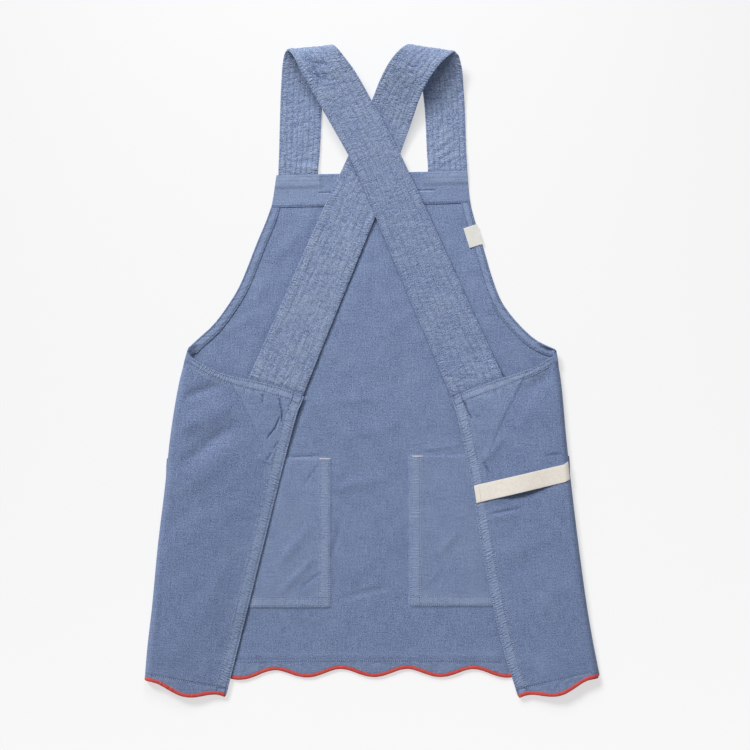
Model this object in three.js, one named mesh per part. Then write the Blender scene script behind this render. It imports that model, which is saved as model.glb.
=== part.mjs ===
// A cross-back smock lying face down on a table: the front panel flat underneath,
// the back panels folded in over it from the side seams, and the shoulder straps
// rolled over at the top and crossed.
//
// Millimetres. +Z is up from the table, +Y runs from the hem to the shoulders and +X
// is to the right as seen from above. The origin is the middle of the footprint, on
// the table. Left and right are as seen from above.

import * as THREE from 'three';

// Thicknesses of the cloth pieces, and the clearance between one layer and the next.
const CLOTH = 1.2;
const FACING = 1.0;
const POCKET = 1.0;
const STRAP = 2.2;
const TAPE = 1.0;
const LABEL = 1.0;
const GAP = 0.35;

// The side folds, where each back panel turns up from the seam at the front panel's edge:
// height of the top of the bend at the middle of the wall, how far in the bend reaches and
// how much cloth it takes.
const FOLD_HEIGHT = 13;
const BEND_REACH = 8;
const BEND_CLOTH = 15;

// The back panels' free edges: their height along the skirt and over the strap ends.
const EDGE_HEIGHT = 5;
const CORNER_HEIGHT = 6.8;
const CROWN_POWER = 2.0;

// The bib's top edge lies slightly turned, and its facing follows it.
const BIB_TOP = 277.6;
const BIB_TILT = 0.0232;
const BIB_FACING_DEPTH = 45;
const ARMHOLE_FACING_WIDTH = 12.5;

// Scalloped hem: pitch and half height of the scallops, where a low point lies, and
// the level of the front hem with its droop to either side.
const SCALLOP_PITCH = 93;
const SCALLOP_RISE = 5.6;
const SCALLOP_LOW = 2.8;
const FRONT_HEM = -416.6;
const FRONT_DROOP = { left: 17, right: 12 };
const DROOP_POWER = { left: 2.7, right: 5 };
const HEM_FACING_TOP = -403;

// The red binding on the hem, an oval in section.
const BINDING_WIDTH = 5.4;
const BINDING_THICK = 3.2;

// Patch pockets: the inner edge, the top and bottom edges, how gently the panel rides up
// over them, and how far they stand out past the side folds.
const POCKETS = {
  left: { inner: 58, top: -122, bottom: -331 },
  right: { inner: 53, top: -118.5, bottom: -329 },
};
const POCKET_RAMP = 11;
const POCKET_PROUD = 1.4;

// Front armhole edges, from the bib's corner to the top of the side seam, as distances
// from the centre line.
const ARMHOLE = [
  { y: 278, left: 133.6, right: 133.2 },
  { y: 229, left: 142, right: 138.5 },
  { y: 177, left: 162.5, right: 154 },
  { y: 121, left: 185, right: 171 },
  { y: 93, left: 201.5, right: 183.5 },
  { y: 65, left: 222.5, right: 206 },
  { y: 43, left: 246, right: 231 },
  { y: 29, left: 260.5, right: 260 },
];
const ARMHOLE_END = 29;

// The outline at the side folds, from the armholes to the hem.
const SIDE_FOLD = [
  { y: 29, left: 257.5, right: 257 },
  { y: -19, left: 270, right: 264.5 },
  { y: -89, left: 281.5, right: 271 },
  { y: -160, left: 289, right: 278.5 },
  { y: -243, left: 299, right: 288.5 },
  { y: -327, left: 307, right: 300 },
  { y: -383, left: 313.5, right: 309.5 },
  { y: -432, left: 317.5, right: 318 },
];

// The back panels' free edges, as distances from the centre line.
const BACK_EDGE = [
  { y: 30, left: 78, right: 94 },
  { y: -36, left: 95.5, right: 110.5 },
  { y: -57, left: 103, right: 117 },
  { y: -100, left: 114.5, right: 126.5 },
  { y: -145, left: 125.5, right: 136 },
  { y: -264, left: 156, right: 156 },
  { y: -377, left: 184.5, right: 180.5 },
  { y: -450, left: 203, right: 202.5 },
];

// The back panels' top edges, by the share of the way from the seam to the free edge.
const BACK_TOP = [
  { across: 0, left: 28, right: 27 },
  { across: 0.16, left: 8, right: 11 },
  { across: 0.32, left: -2.5, right: -0.5 },
  { across: 0.5, left: -12.5, right: -8.5 },
  { across: 0.75, left: -22, right: -21.5 },
  { across: 0.95, left: -31.5, right: -35.5 },
  { across: 1, left: -35, right: -39.5 },
];

// The back panels' hems fall away from the side folds towards the free edges.
const BACK_HEM = {
  left: { atFold: -433.5, fall: 0.1875, low: -261 },
  right: { atFold: -428.8, fall: 0.24, low: 261 },
};

// Corner patches behind the back panels: how far below the top edge they start, and
// the slanting lower edge from the top edge down to the free edge.
const PATCHES = {
  left: { below: 17, from: { x: -193, y: -24 }, to: { x: -141, y: -136 } },
  right: { below: 17, from: { x: 206, y: -21 }, to: { x: 159, y: -130 } },
};

// Each strap's cross lines, from its end under the bib facing, over the roll at the
// shoulder, to its end under the far back panel. x, y and z are the cross line's
// middle, span its length, and turn its slope in degrees.
const STRAPS = {
  left: {
    under: 'right',
    sections: [
      { x: -103.5, y: 266, z: 2.75, span: 55, turn: 1.4 },
      { x: -103.2, y: 281, z: 2.75, span: 55.5, turn: 1.4 },
      { x: -101.5, y: 305, z: 1.5, span: 57, turn: 1.4 },
      { x: -99, y: 372, z: 1.35, span: 58.5, turn: 1.4 },
      { x: -97, y: 405, z: 2.6, span: 59.5, turn: 1.6 },
      { x: -93.6, y: 436, z: 8.5, span: 61.5, turn: 2.6 },
      { x: -87.8, y: 453, z: 18, span: 63, turn: 4.5 },
      { x: -79, y: 446.5, z: 25.5, span: 62, turn: 10 },
      { x: -66, y: 427, z: 26.5, span: 60, turn: 19.5 },
      { x: -50, y: 401, z: 23.5, span: 61.5, turn: 27 },
      { x: -30, y: 365, z: 19, span: 63.5, turn: 29 },
      { x: -5, y: 318.6, z: 14, span: 65.5, turn: 28.8 },
      { x: 15, y: 278, z: 10, span: 66.8, turn: 28 },
      { x: 56.5, y: 184, z: 5.4, span: 71, turn: 24 },
      { x: 102, y: 80, z: 4.2, span: 74.5, turn: 22 },
      { x: 148.5, y: -27, z: 5.2, span: 79.5, turn: 21.3 },
    ],
  },
  right: {
    under: 'left',
    sections: [
      { x: 105.8, y: 270, z: 2.75, span: 54.8, turn: 1 },
      { x: 105.6, y: 286, z: 2.75, span: 54.8, turn: 0.8 },
      { x: 104.2, y: 310, z: 1.4, span: 55, turn: 0.4 },
      { x: 102, y: 365, z: 1.8, span: 56, turn: -0.6 },
      { x: 99, y: 397, z: 6, span: 58, turn: -2 },
      { x: 94.5, y: 430, z: 15, span: 61, turn: -4.5 },
      { x: 84.8, y: 451.5, z: 26, span: 64.5, turn: -8 },
      { x: 69, y: 442, z: 33.5, span: 61, turn: -16 },
      { x: 52.5, y: 420, z: 33, span: 60, turn: -22.5 },
      { x: 39.5, y: 395, z: 24.5, span: 61, turn: -24.5 },
      { x: 24.5, y: 355, z: 11.5, span: 63, turn: -25.5 },
      { x: 9.5, y: 317.5, z: 6, span: 65.5, turn: -25 },
      { x: -8, y: 274, z: 4.9, span: 68.5, turn: -24.5 },
      { x: -28.8, y: 228, z: 4.2, span: 71, turn: -24.5 },
      { x: -68.5, y: 135, z: 3.8, span: 74.5, turn: -25 },
      { x: -107.5, y: 43, z: 4, span: 77.5, turn: -26.5 },
      { x: -138, y: -29.5, z: 5.2, span: 80, turn: -28.5 },
    ],
  },
};
const STRAP_STEPS = 3;
const STRAP_COLUMNS = 4;
const STRAP_SEATING = 55;

// The towel loop's tape: its middle at the side fold and at the free edge, its width,
// and how far it bows up between its two sewn ends.
const LOOP = { side: 'right', atFold: -141, atEdge: -172.5, width: 25, bow: 5.6 };

// The label's outer corner at the armhole edge, its sides and its turn in degrees.
const TAG = { x: 147, y: 206, wide: 20, high: 29, turn: 17.5 };

const COLOURS = {
  cloth: 0x7486ab,
  strap: 0x8294b6,
  facing: 0x7d8fb2,
  binding: 0xcf4a48,
  tape: 0xded6ca,
  label: 0xe5e2dc,
};

const SIDES = { left: -1, right: 1 };

const clamp01 = (value) => THREE.MathUtils.clamp(value, 0, 1);
const mix = THREE.MathUtils.lerp;
const ease = (value) => THREE.MathUtils.smoothstep(value, 0, 1);

// A column of a table at any place along it, as a smooth curve through its rows.
function read(table, by, column, at) {
  const last = table.length - 1;
  const down = table[last][by] < table[0][by];
  let i = 0;
  while (i < last - 1 && (down ? at < table[i + 1][by] : at > table[i + 1][by])) i++;
  const slope = (k) => {
    const before = table[Math.max(k - 1, 0)];
    const after = table[Math.min(k + 1, last)];
    return (after[column] - before[column]) / (after[by] - before[by]);
  };
  const step = table[i + 1][by] - table[i][by];
  const t = clamp01((at - table[i][by]) / step);
  const beyond = at - (table[i][by] + t * step);
  const a = table[i][column];
  const b = table[i + 1][column];
  const da = slope(i) * step;
  const db = slope(i + 1) * step;
  const curve = a + t * (da + t * (3 * (b - a) - 2 * da - db + t * (2 * (a - b) + da + db)));
  return curve + beyond * slope(t > 0.5 ? i + 1 : i);
}

const foldAt = (side, y) => read(SIDE_FOLD, 'y', side, y);
const backEdgeAt = (side, y) => read(BACK_EDGE, 'y', side, y);
const sideOf = (x) => (x < 0 ? 'left' : 'right');
const scallop = (x, low) => SCALLOP_RISE * Math.cos((2 * Math.PI * (x - low)) / SCALLOP_PITCH);

// Where the front panel's cloth ends on either side.
function frontHalf(side, y) {
  const toSeam = foldAt(side, y) + CLOTH / 2;
  if (y <= ARMHOLE_END) return toSeam;
  return Math.min(toSeam, read(ARMHOLE, 'y', side, y));
}

function frontHemAt(x) {
  const side = sideOf(x);
  const share = Math.abs(x) / SIDE_FOLD.at(-1)[side];
  return FRONT_HEM - FRONT_DROOP[side] * share ** DROOP_POWER[side] - scallop(x, SCALLOP_LOW);
}

function backHemAt(side, x) {
  const { atFold, fall, low } = BACK_HEM[side];
  const inward = SIDE_FOLD.at(-1)[side] - Math.abs(x);
  return atFold - fall * inward - scallop(x, low);
}

// The front panel rides up over the pockets underneath it.
function pocketLift(x, y) {
  const { inner, top, bottom } = POCKETS[sideOf(x)];
  const acrossIn = clamp01((Math.abs(x) - (inner - 4 - POCKET_RAMP)) / POCKET_RAMP);
  const below = clamp01((top + 4 + POCKET_RAMP - y) / POCKET_RAMP);
  const above = clamp01((y - (bottom - 4 - POCKET_RAMP)) / POCKET_RAMP);
  return (POCKET + GAP) * ease(acrossIn) * ease(below) * ease(above);
}

// The front panel's middle surface, flat on the table. offset is a height above it.
function frontPoint(x, y, offset = 0) {
  return new THREE.Vector3(x, y, CLOTH / 2 + pocketLift(x, y) + offset);
}

// Height of a back panel's middle surface away from the bend: highest beside the side
// fold, falling to its free edge.
function backHeight(side, x, y) {
  const start = foldAt(side, y) - BEND_REACH;
  const share = clamp01((start - Math.abs(x)) / (start - backEdgeAt(side, y)));
  const edge = mix(EDGE_HEIGHT, CORNER_HEIGHT, ease((y + 130) / 70));
  return edge + (FOLD_HEIGHT - edge) * (1 - share ** CROWN_POWER);
}

// A back panel's middle surface, by the cloth's distance from the seam. It stands up from
// the front panel's edge and bends in over it.
function backPoint(side, fromSeam, y, offset = 0) {
  const sign = SIDES[side];
  const fold = foldAt(side, y);
  if (fromSeam >= BEND_CLOTH) {
    const x = sign * (fold - BEND_REACH - (fromSeam - BEND_CLOTH));
    return new THREE.Vector3(x, y, backHeight(side, x, y) + offset);
  }
  const bend = (fromSeam / BEND_CLOTH) * (Math.PI / 2);
  const foot = frontPoint(sign * fold, y, CLOTH / 2 + GAP).z;
  const rise = FOLD_HEIGHT - foot;
  const normal = new THREE.Vector2(rise * Math.cos(bend), BEND_REACH * Math.sin(bend));
  normal.setLength(offset);
  const reach = fold - BEND_REACH + BEND_REACH * Math.cos(bend) + normal.x;
  return new THREE.Vector3(sign * reach, y, foot + rise * Math.sin(bend) + normal.y);
}

// Places from a to b in equal steps, both ends included.
function steps(a, b, count) {
  return Array.from({ length: count + 1 }, (_, i) => mix(a, b, i / count));
}

// Shares of the way along a row of points, by length.
function shares(row) {
  const lengths = [0];
  for (let i = 1; i < row.length; i++) lengths.push(lengths[i - 1] + row[i].distanceTo(row[i - 1]));
  return lengths.map((length) => length / lengths.at(-1));
}

// A closed cloth wall around a middle surface. The surface is given as rows of points;
// neighbouring rows may have different numbers of points.
function clothWall(rows, thickness) {
  const points = rows.flat();
  const faces = [];
  let first = 0;
  for (let r = 0; r + 1 < rows.length; r++) {
    const upper = shares(rows[r]);
    const lower = shares(rows[r + 1]);
    const next = first + upper.length;
    let i = 0;
    let j = 0;
    while (i < upper.length - 1 || j < lower.length - 1) {
      const upperTurn = j === lower.length - 1
        || (i < upper.length - 1 && upper[i + 1] <= lower[j + 1]);
      if (upperTurn) faces.push([first + i, next + j, first + ++i]);
      else faces.push([first + i, next + j, next + ++j]);
    }
    first = next;
  }
  const normals = points.map(() => new THREE.Vector3());
  const edges = new Map();
  for (const face of faces) {
    const [a, b, c] = face.map((k) => points[k]);
    const normal = b.clone().sub(a).cross(c.clone().sub(a));
    face.forEach((k, n) => {
      normals[k].add(normal);
      edges.set(`${k},${face[(n + 1) % 3]}`, [k, face[(n + 1) % 3]]);
    });
  }
  const position = [];
  for (const side of [0.5, -0.5]) {
    points.forEach((p, k) => {
      const moved = p.clone().addScaledVector(normals[k].clone().normalize(), side * thickness);
      position.push(moved.x, moved.y, moved.z);
    });
  }
  const under = points.length;
  const index = faces.flatMap(([a, b, c]) => [a, b, c, under + a, under + c, under + b]);
  for (const [a, b] of edges.values()) {
    if (edges.has(`${b},${a}`)) continue;
    index.push(b, a, under + a, b, under + a, under + b);
  }
  const geometry = new THREE.BufferGeometry();
  geometry.setAttribute('position', new THREE.Float32BufferAttribute(position, 3));
  geometry.setIndex(index);
  return geometry;
}

// A closed solid through rings with the same number of points, closed at both ends.
function lofted(rings) {
  const around = rings[0].length;
  const position = rings.flat().flatMap((p) => [p.x, p.y, p.z]);
  const index = [];
  for (let r = 0; r + 1 < rings.length; r++) {
    for (let k = 0; k < around; k++) {
      const a = r * around + k;
      const b = r * around + ((k + 1) % around);
      index.push(a, b, b + around, a, b + around, a + around);
    }
  }
  const end = (rings.length - 1) * around;
  for (let k = 1; k + 1 < around; k++) {
    index.push(0, k + 1, k, end, end + k, end + k + 1);
  }
  const geometry = new THREE.BufferGeometry();
  geometry.setAttribute('position', new THREE.Float32BufferAttribute(position, 3));
  geometry.setIndex(index);
  return geometry;
}

// Places across the front panel's cloth at one height, closer together where the panel
// steps up over the pockets.
function frontColumns(y, flatSteps) {
  const overPockets = y < POCKETS.right.top + 20;
  const halves = Object.entries(SIDES).map(([side, sign]) => {
    const step = POCKETS[side].inner - 4;
    const lines = overPockets ? steps(step - POCKET_RAMP, step, 2) : [step];
    const flat = steps(step, frontHalf(side, y), flatSteps).slice(1);
    return [...lines, ...flat].map((x) => sign * x);
  });
  return [...halves[0].reverse(), 0, ...halves[1]];
}

function frontHemLine() {
  const y = SIDE_FOLD.at(-1).y;
  return steps(-frontHalf('left', y), frontHalf('right', y), 62);
}

// Bib and skirt in one, in rows from the bib's top edge to the scalloped hem.
function frontPanelRows() {
  const bib = steps(BIB_TOP, 48, 9).map((y, i) => {
    const tilt = BIB_TILT * (1 - i / 9);
    return frontColumns(y, 3).map((x) => frontPoint(x, y + tilt * x));
  });
  const heights = [38, ARMHOLE_END, 15, -19, -60, -97, -103, -109, -115, -165, -215, -270, -333,
    -339, -344, -350, -380, -400];
  const skirt = heights.map((y) => frontColumns(y, 4).map((x) => frontPoint(x, y)));
  const hem = frontHemLine().map((x) => frontPoint(x, frontHemAt(x)));
  return [...bib, ...skirt, hem];
}

// Places across a back panel, from the seam through the bend to the free edge. Each
// gives the cloth's distance from the seam at a height, and the share across.
function backColumns(count) {
  const nominal = 140;
  const bends = steps(0, 1, 4).slice(0, 4).map((part) => ({
    across: (BEND_REACH * (1 - Math.cos((part * Math.PI) / 2))) / (nominal + BEND_REACH),
    fromSeam: () => part * BEND_CLOTH,
  }));
  const flats = steps(0, 1, count).map((part) => ({
    across: (BEND_REACH + part * nominal) / (nominal + BEND_REACH),
    fromSeam: (side, y) =>
      BEND_CLOTH + part * (foldAt(side, y) - BEND_REACH - backEdgeAt(side, y)),
  }));
  return [...bends, ...flats];
}

function backTopAt(side, across) {
  return read(BACK_TOP, 'across', side, across);
}

// One row of a back panel, from the seam to the free edge: down is the share of the way
// from the top edge to the hem.
function backRow(side, columns, down) {
  const hemFold = foldAt(side, SIDE_FOLD.at(-1).y);
  const hemEdge = BACK_EDGE.at(-1)[side];
  return columns.map(({ across, fromSeam }) => {
    const hem = backHemAt(side, SIDES[side] * mix(hemFold, hemEdge, across));
    const y = mix(backTopAt(side, across), hem, down);
    return backPoint(side, fromSeam(side, y), y);
  });
}

const backHemRow = (side) => backRow(side, backColumns(14), 1);

// The rows lie closer together where the seam steps up over the pocket's ends.
function backPanelRows(side) {
  const downs = [...steps(0, 0.21, 3), ...steps(0.275, 0.335, 3), ...steps(0.42, 0.69, 3),
    ...steps(0.775, 0.84, 3), 0.89, 0.94];
  const rows = downs.map((down) => backRow(side, backColumns(9), down));
  rows.push(backHemRow(side));
  return SIDES[side] < 0 ? rows : rows.map((row) => row.reverse());
}

// A strap is a band between its two edges, bent along its own length over the roll. Its
// last stretch rises to lie against the underside of the back panel that holds it.
function strapRows({ under, sections }) {
  const route = new THREE.CatmullRomCurve3(sections.map((s) => new THREE.Vector3(s.x, s.y, s.z)));
  const cuts = new THREE.CatmullRomCurve3(
    sections.map((s) => new THREE.Vector3(s.span, s.turn, 0)),
  );
  const seat = CLOTH / 2 + GAP + STRAP / 2;
  const endY = sections.at(-1).y;
  return steps(0, 1, (sections.length - 1) * STRAP_STEPS).map((t) => {
    const middle = route.getPoint(t);
    const cut = cuts.getPoint(t);
    const turn = THREE.MathUtils.degToRad(cut.y);
    const seated = t < 0.5 ? 0 : ease(1 - (middle.y - endY) / STRAP_SEATING);
    return steps(-0.5, 0.5, STRAP_COLUMNS).map((part) => {
      const x = middle.x + part * cut.x * Math.cos(turn);
      const y = middle.y + part * cut.x * Math.sin(turn);
      const z = mix(middle.z, backHeight(under, x, y) - seat, seated);
      return new THREE.Vector3(x, y, z);
    });
  });
}

// The band inside the bib's top edge. It rides over the sewn-in ends of the straps.
function bibFacingRows() {
  const level = CLOTH / 2 + GAP + FACING / 2;
  const overStrap = STRAP + GAP;
  const strapInner = 74;
  const strapDeep = 14;
  const ramp = 9;
  const downs = [0, strapDeep / 2, strapDeep, strapDeep + ramp, 34, BIB_FACING_DEPTH];
  const parts = [-1, -0.75, -0.56, -0.47, -0.2, 0, 0.2, 0.47, 0.56, 0.75, 1];
  return downs.map((down) => parts.map((part) => {
    const y = BIB_TOP - down;
    const x = part * (read(ARMHOLE, 'y', part < 0 ? 'left' : 'right', y) - 0.8);
    const acrossStrap = ease(1 - (strapInner - Math.abs(x)) / ramp);
    const alongStrap = ease(1 - (down - strapDeep) / ramp);
    return frontPoint(x, y + BIB_TILT * x - 0.3, level + overStrap * acrossStrap * alongStrap);
  }));
}

// A bias strip inside a front armhole, from below the bib facing to the side seam.
function armholeFacingRows(side) {
  const sign = SIDES[side];
  const level = CLOTH / 2 + GAP + FACING / 2;
  const top = BIB_TOP - BIB_FACING_DEPTH + sign * BIB_TILT * 140 - 1;
  const ys = [...steps(top, 65, 8), ...steps(55, ARMHOLE_END + 5, 3)];
  const edge = ys.map((y) => new THREE.Vector2(sign * (frontHalf(side, y) - 0.8), y));
  const across = edge.map((_, i) => {
    const along = edge[Math.min(i + 1, edge.length - 1)].clone().sub(edge[Math.max(i - 1, 0)]);
    const inward = new THREE.Vector2(along.y, -along.x).multiplyScalar(sign).normalize();
    return i === 0 ? new THREE.Vector2(-sign, 0) : inward;
  });
  return edge.map((p, i) => {
    const row = steps(0, ARMHOLE_FACING_WIDTH, 2).map((inset) => {
      const q = p.clone().addScaledVector(across[i], inset);
      return frontPoint(q.x, q.y, level);
    });
    return sign < 0 ? row : row.reverse();
  });
}

// A patch pocket under the front panel, from its inner edge out past the side fold.
function pocketRows(side) {
  const sign = SIDES[side];
  const { inner, top, bottom } = POCKETS[side];
  const level = -(CLOTH / 2 + GAP + POCKET / 2);
  return steps(top, bottom, 5).map((y) => {
    const outer = frontHalf(side, y) + POCKET_PROUD;
    const row = steps(inner, outer, 5).map((x) => frontPoint(sign * x, y, level));
    return sign < 0 ? row.reverse() : row;
  });
}

// The strip inside the front hem, straight along its top and scalloped below.
function hemFacingRows() {
  const level = CLOTH / 2 + GAP + FACING / 2;
  const inset = 6;
  const y = SIDE_FOLD.at(-1).y;
  const xs = steps(-frontHalf('left', y) + inset, frontHalf('right', y) - inset, 52);
  const top = xs.filter((_, i) => i % 4 === 0).map((x) => {
    const droop = 0.3 * FRONT_DROOP[sideOf(x)] * (x / 320) ** 2;
    return frontPoint(x, HEM_FACING_TOP - droop, level);
  });
  return [top, xs.map((x) => frontPoint(x, frontHemAt(x) + 0.6, level))];
}

// The binding runs below the hem edge of all three panels, around both side folds.
function bindingRings() {
  const outward = BINDING_WIDTH / 2 + GAP + 0.2;
  const lifted = BINDING_THICK / 2 - CLOTH / 2 + 0.05;
  const front = frontHemLine().slice(1, -1).map((x) => frontPoint(x, frontHemAt(x), lifted));
  const [left, right] = Object.keys(SIDES).map((side) => {
    const [seam, ...hem] = backHemRow(side);
    const turn = seam.clone().add(new THREE.Vector3(-1.6 * SIDES[side], 0, 1.1));
    return [turn, ...hem];
  });
  const path = [...left.reverse(), ...front, ...right];
  return path.map((at, i) => {
    const before = path[Math.max(i - 1, 0)];
    const after = path[Math.min(i + 1, path.length - 1)];
    const along = after.clone().sub(before).normalize();
    const down = new THREE.Vector3(0, -1, 0).addScaledVector(along, along.y).normalize();
    const across = along.clone().cross(down);
    const middle = at.clone().addScaledVector(down, outward);
    return steps(0, 2 * Math.PI, 8).slice(0, 8).map((turn) => middle.clone()
      .addScaledVector(down, (BINDING_WIDTH / 2) * Math.cos(turn))
      .addScaledVector(across, (BINDING_THICK / 2) * Math.sin(turn)));
  });
}

// The towel loop: tape from the side seam to the free edge of the right back panel,
// sewn down at both ends and bowed up between them.
function towelLoopRows() {
  const { side, atFold, atEdge, width, bow } = LOOP;
  const level = CLOTH / 2 + GAP + TAPE / 2;
  return steps(-0.5, 0.5, 2).map((across) => steps(0, 1, 22).map((part) => {
    const y = mix(atFold, atEdge, part) - across * width * 0.97;
    const rest = foldAt(side, y) - BEND_REACH - backEdgeAt(side, y) + 0.6;
    const fromSeam = part < 0.18
      ? mix(0.6, BEND_CLOTH, part / 0.18)
      : mix(BEND_CLOTH, BEND_CLOTH + rest, (part - 0.18) / 0.82);
    const bowed = clamp01((part - 0.2) / 0.72);
    return backPoint(side, fromSeam, y, level + bow * Math.sin(Math.PI * bowed) ** 2);
  }).reverse());
}

// The label lies on the armhole facing, its outer side along the armhole edge.
function labelRows() {
  const turn = THREE.MathUtils.degToRad(TAG.turn);
  const down = new THREE.Vector2(Math.sin(turn), -Math.cos(turn));
  const inward = new THREE.Vector2(-Math.cos(turn), -Math.sin(turn));
  const onFacing = CLOTH + GAP + FACING + GAP + LABEL / 2;
  const onCloth = CLOTH + GAP + LABEL / 2;
  return steps(0, TAG.high, 3).map((along) => [1, 0.8, 0.4, 0].map((part) => {
    const place = new THREE.Vector2(TAG.x, TAG.y)
      .addScaledVector(down, along)
      .addScaledVector(inward, part * TAG.wide);
    const z = part > 0.9 ? mix(onCloth, onFacing, 0.35) : onFacing;
    return new THREE.Vector3(place.x, place.y, z);
  }));
}

// A triangle of cloth behind a back panel's upper corner, below the strap's end.
function cornerPatchRows(side) {
  const sign = SIDES[side];
  const { below, from, to } = PATCHES[side];
  const level = -(CLOTH / 2 + GAP + FACING / 2);
  const rows = steps(0, 1, 5).map((down) => {
    const outer = new THREE.Vector2(mix(from.x, to.x, down), mix(from.y - below, to.y, down));
    const topEdge = backTopAt(side, 0.97) - below;
    const innerY = mix(topEdge, to.y - 4, down);
    const innerX = sign * (backEdgeAt(side, innerY) + 2);
    return steps(0, 1, 4).map((part) => {
      const x = mix(outer.x, innerX, part);
      const y = mix(outer.y, innerY, part);
      return new THREE.Vector3(x, y, backHeight(side, x, y) + level);
    });
  });
  return sign < 0 ? rows : rows.map((row) => row.reverse());
}

const smock = new THREE.Group();

function add(name, geometry, colour, roughness = 0.92) {
  const material = new THREE.MeshStandardMaterial({ color: colour, roughness, metalness: 0 });
  const mesh = new THREE.Mesh(geometry, material);
  mesh.name = name;
  smock.add(mesh);
}

add('front_panel', clothWall(frontPanelRows(), CLOTH), COLOURS.cloth);
add('bib_facing', clothWall(bibFacingRows(), FACING), COLOURS.facing);
add('hem_facing', clothWall(hemFacingRows(), FACING), COLOURS.facing);
for (const side of Object.keys(SIDES)) {
  add(`${side}_back_panel`, clothWall(backPanelRows(side), CLOTH), COLOURS.cloth);
  add(`${side}_strap`, clothWall(strapRows(STRAPS[side]), STRAP), COLOURS.strap);
  add(`${side}_armhole_facing`, clothWall(armholeFacingRows(side), FACING), COLOURS.facing);
  add(`${side}_pocket`, clothWall(pocketRows(side), POCKET), COLOURS.cloth);
  add(`${side}_corner_patch`, clothWall(cornerPatchRows(side), FACING), COLOURS.cloth);
}
add('hem_binding', lofted(bindingRings()), COLOURS.binding, 0.8);
add('towel_loop', clothWall(towelLoopRows(), TAPE), COLOURS.tape);
add('side_label', clothWall(labelRows(), LABEL), COLOURS.label);

export default smock;
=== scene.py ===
# %% [markdown]
# # A washed blue smock, lying face down
# The real thing is a cross-back work smock, washed soft and laid flat with its inside up. The front
# panel lies underneath, the back panels fold in over it, and two quilted straps roll over at the top
# and cross. This lesson sews that smock from grids of points. Each cloth piece is a formula for a
# curved sheet, so its seams, puckers and stitches can all be worked out from the same sheet.

# %% Load the frame
import math

import bpy
import numpy as np
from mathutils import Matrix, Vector


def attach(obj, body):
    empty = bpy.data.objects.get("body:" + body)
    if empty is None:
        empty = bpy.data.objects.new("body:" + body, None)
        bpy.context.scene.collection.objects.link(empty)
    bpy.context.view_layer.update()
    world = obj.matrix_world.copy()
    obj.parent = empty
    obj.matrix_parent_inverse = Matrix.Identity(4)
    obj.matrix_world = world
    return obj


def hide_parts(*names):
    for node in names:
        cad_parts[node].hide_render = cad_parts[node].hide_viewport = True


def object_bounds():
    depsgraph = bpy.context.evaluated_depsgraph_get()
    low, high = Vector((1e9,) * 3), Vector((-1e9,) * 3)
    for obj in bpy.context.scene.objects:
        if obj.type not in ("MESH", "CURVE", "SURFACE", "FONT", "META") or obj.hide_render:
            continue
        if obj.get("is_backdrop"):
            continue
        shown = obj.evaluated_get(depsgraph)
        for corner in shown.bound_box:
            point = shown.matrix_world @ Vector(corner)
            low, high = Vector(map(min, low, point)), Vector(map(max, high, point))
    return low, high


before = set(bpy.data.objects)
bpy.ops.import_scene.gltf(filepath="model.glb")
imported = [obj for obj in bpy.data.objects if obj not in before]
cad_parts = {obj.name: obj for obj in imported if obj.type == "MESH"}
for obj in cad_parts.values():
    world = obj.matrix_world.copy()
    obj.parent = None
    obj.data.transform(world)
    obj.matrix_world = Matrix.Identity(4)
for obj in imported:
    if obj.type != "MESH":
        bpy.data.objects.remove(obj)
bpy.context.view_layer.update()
MM = 0.001

# %% [markdown]
# ## Reading the cut
# A garment is drafted as a few measured points with smooth lines through them. The tables below hold
# those points in millimetres, as distances from the centre line, and `read` draws the smooth line.
# A spline object could do the same, but a plain function can be asked for any place at any time.

# %% Small helpers
def mix(a, b, share):
    return a + (b - a) * share


def ease(share):
    share = np.clip(share, 0, 1)
    return share * share * (3 - 2 * share)


def table(names, *rows):
    return dict(zip(names.split(), np.array(rows, float).T))


def joined(*fields):
    """Fields of coordinates joined to one array of points."""
    return np.stack(np.broadcast_arrays(*fields), axis=-1)


def unit(vectors):
    return vectors / np.maximum(np.linalg.norm(vectors, axis=-1, keepdims=True), 1e-6)


def plan_of(points):
    return points[..., 0], points[..., 1]


def run_along(path):
    """How far along a path of points each of them lies."""
    return np.r_[0, np.cumsum(np.linalg.norm(np.diff(path, axis=0), axis=1))]


def read(rows, column, at):
    """A column of a table as a smooth curve through its rows, by the places in its first column."""
    places = next(iter(rows.values()))
    order = np.argsort(places)
    knots, values = places[order], rows[column][order]
    last = len(knots) - 1
    before = np.maximum(np.arange(last + 1) - 1, 0)
    after = np.minimum(np.arange(last + 1) + 1, last)
    slopes = (values[after] - values[before]) / (knots[after] - knots[before])
    at = np.asarray(at, float)
    i = np.clip(np.searchsorted(knots, at) - 1, 0, last - 1)
    step = knots[i + 1] - knots[i]
    t = np.clip((at - knots[i]) / step, 0, 1)
    beyond = at - (knots[i] + t * step)
    a, b = values[i], values[i + 1]
    da, db = slopes[i] * step, slopes[i + 1] * step
    curve = a + t * (da + t * (3 * (b - a) - 2 * da - db + t * (2 * (a - b) + da + db)))
    return curve + beyond * np.where(t > 0.5, slopes[i + 1], slopes[i])


def by_side(x, left, right):
    return np.where(np.asarray(x) < 0, left, right)


def nearest(line, x, y):
    """A line of the draft, on the side where x lies."""
    return by_side(x, line("left", y), line("right", y))


SIGN = {"left": -1, "right": 1}

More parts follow.
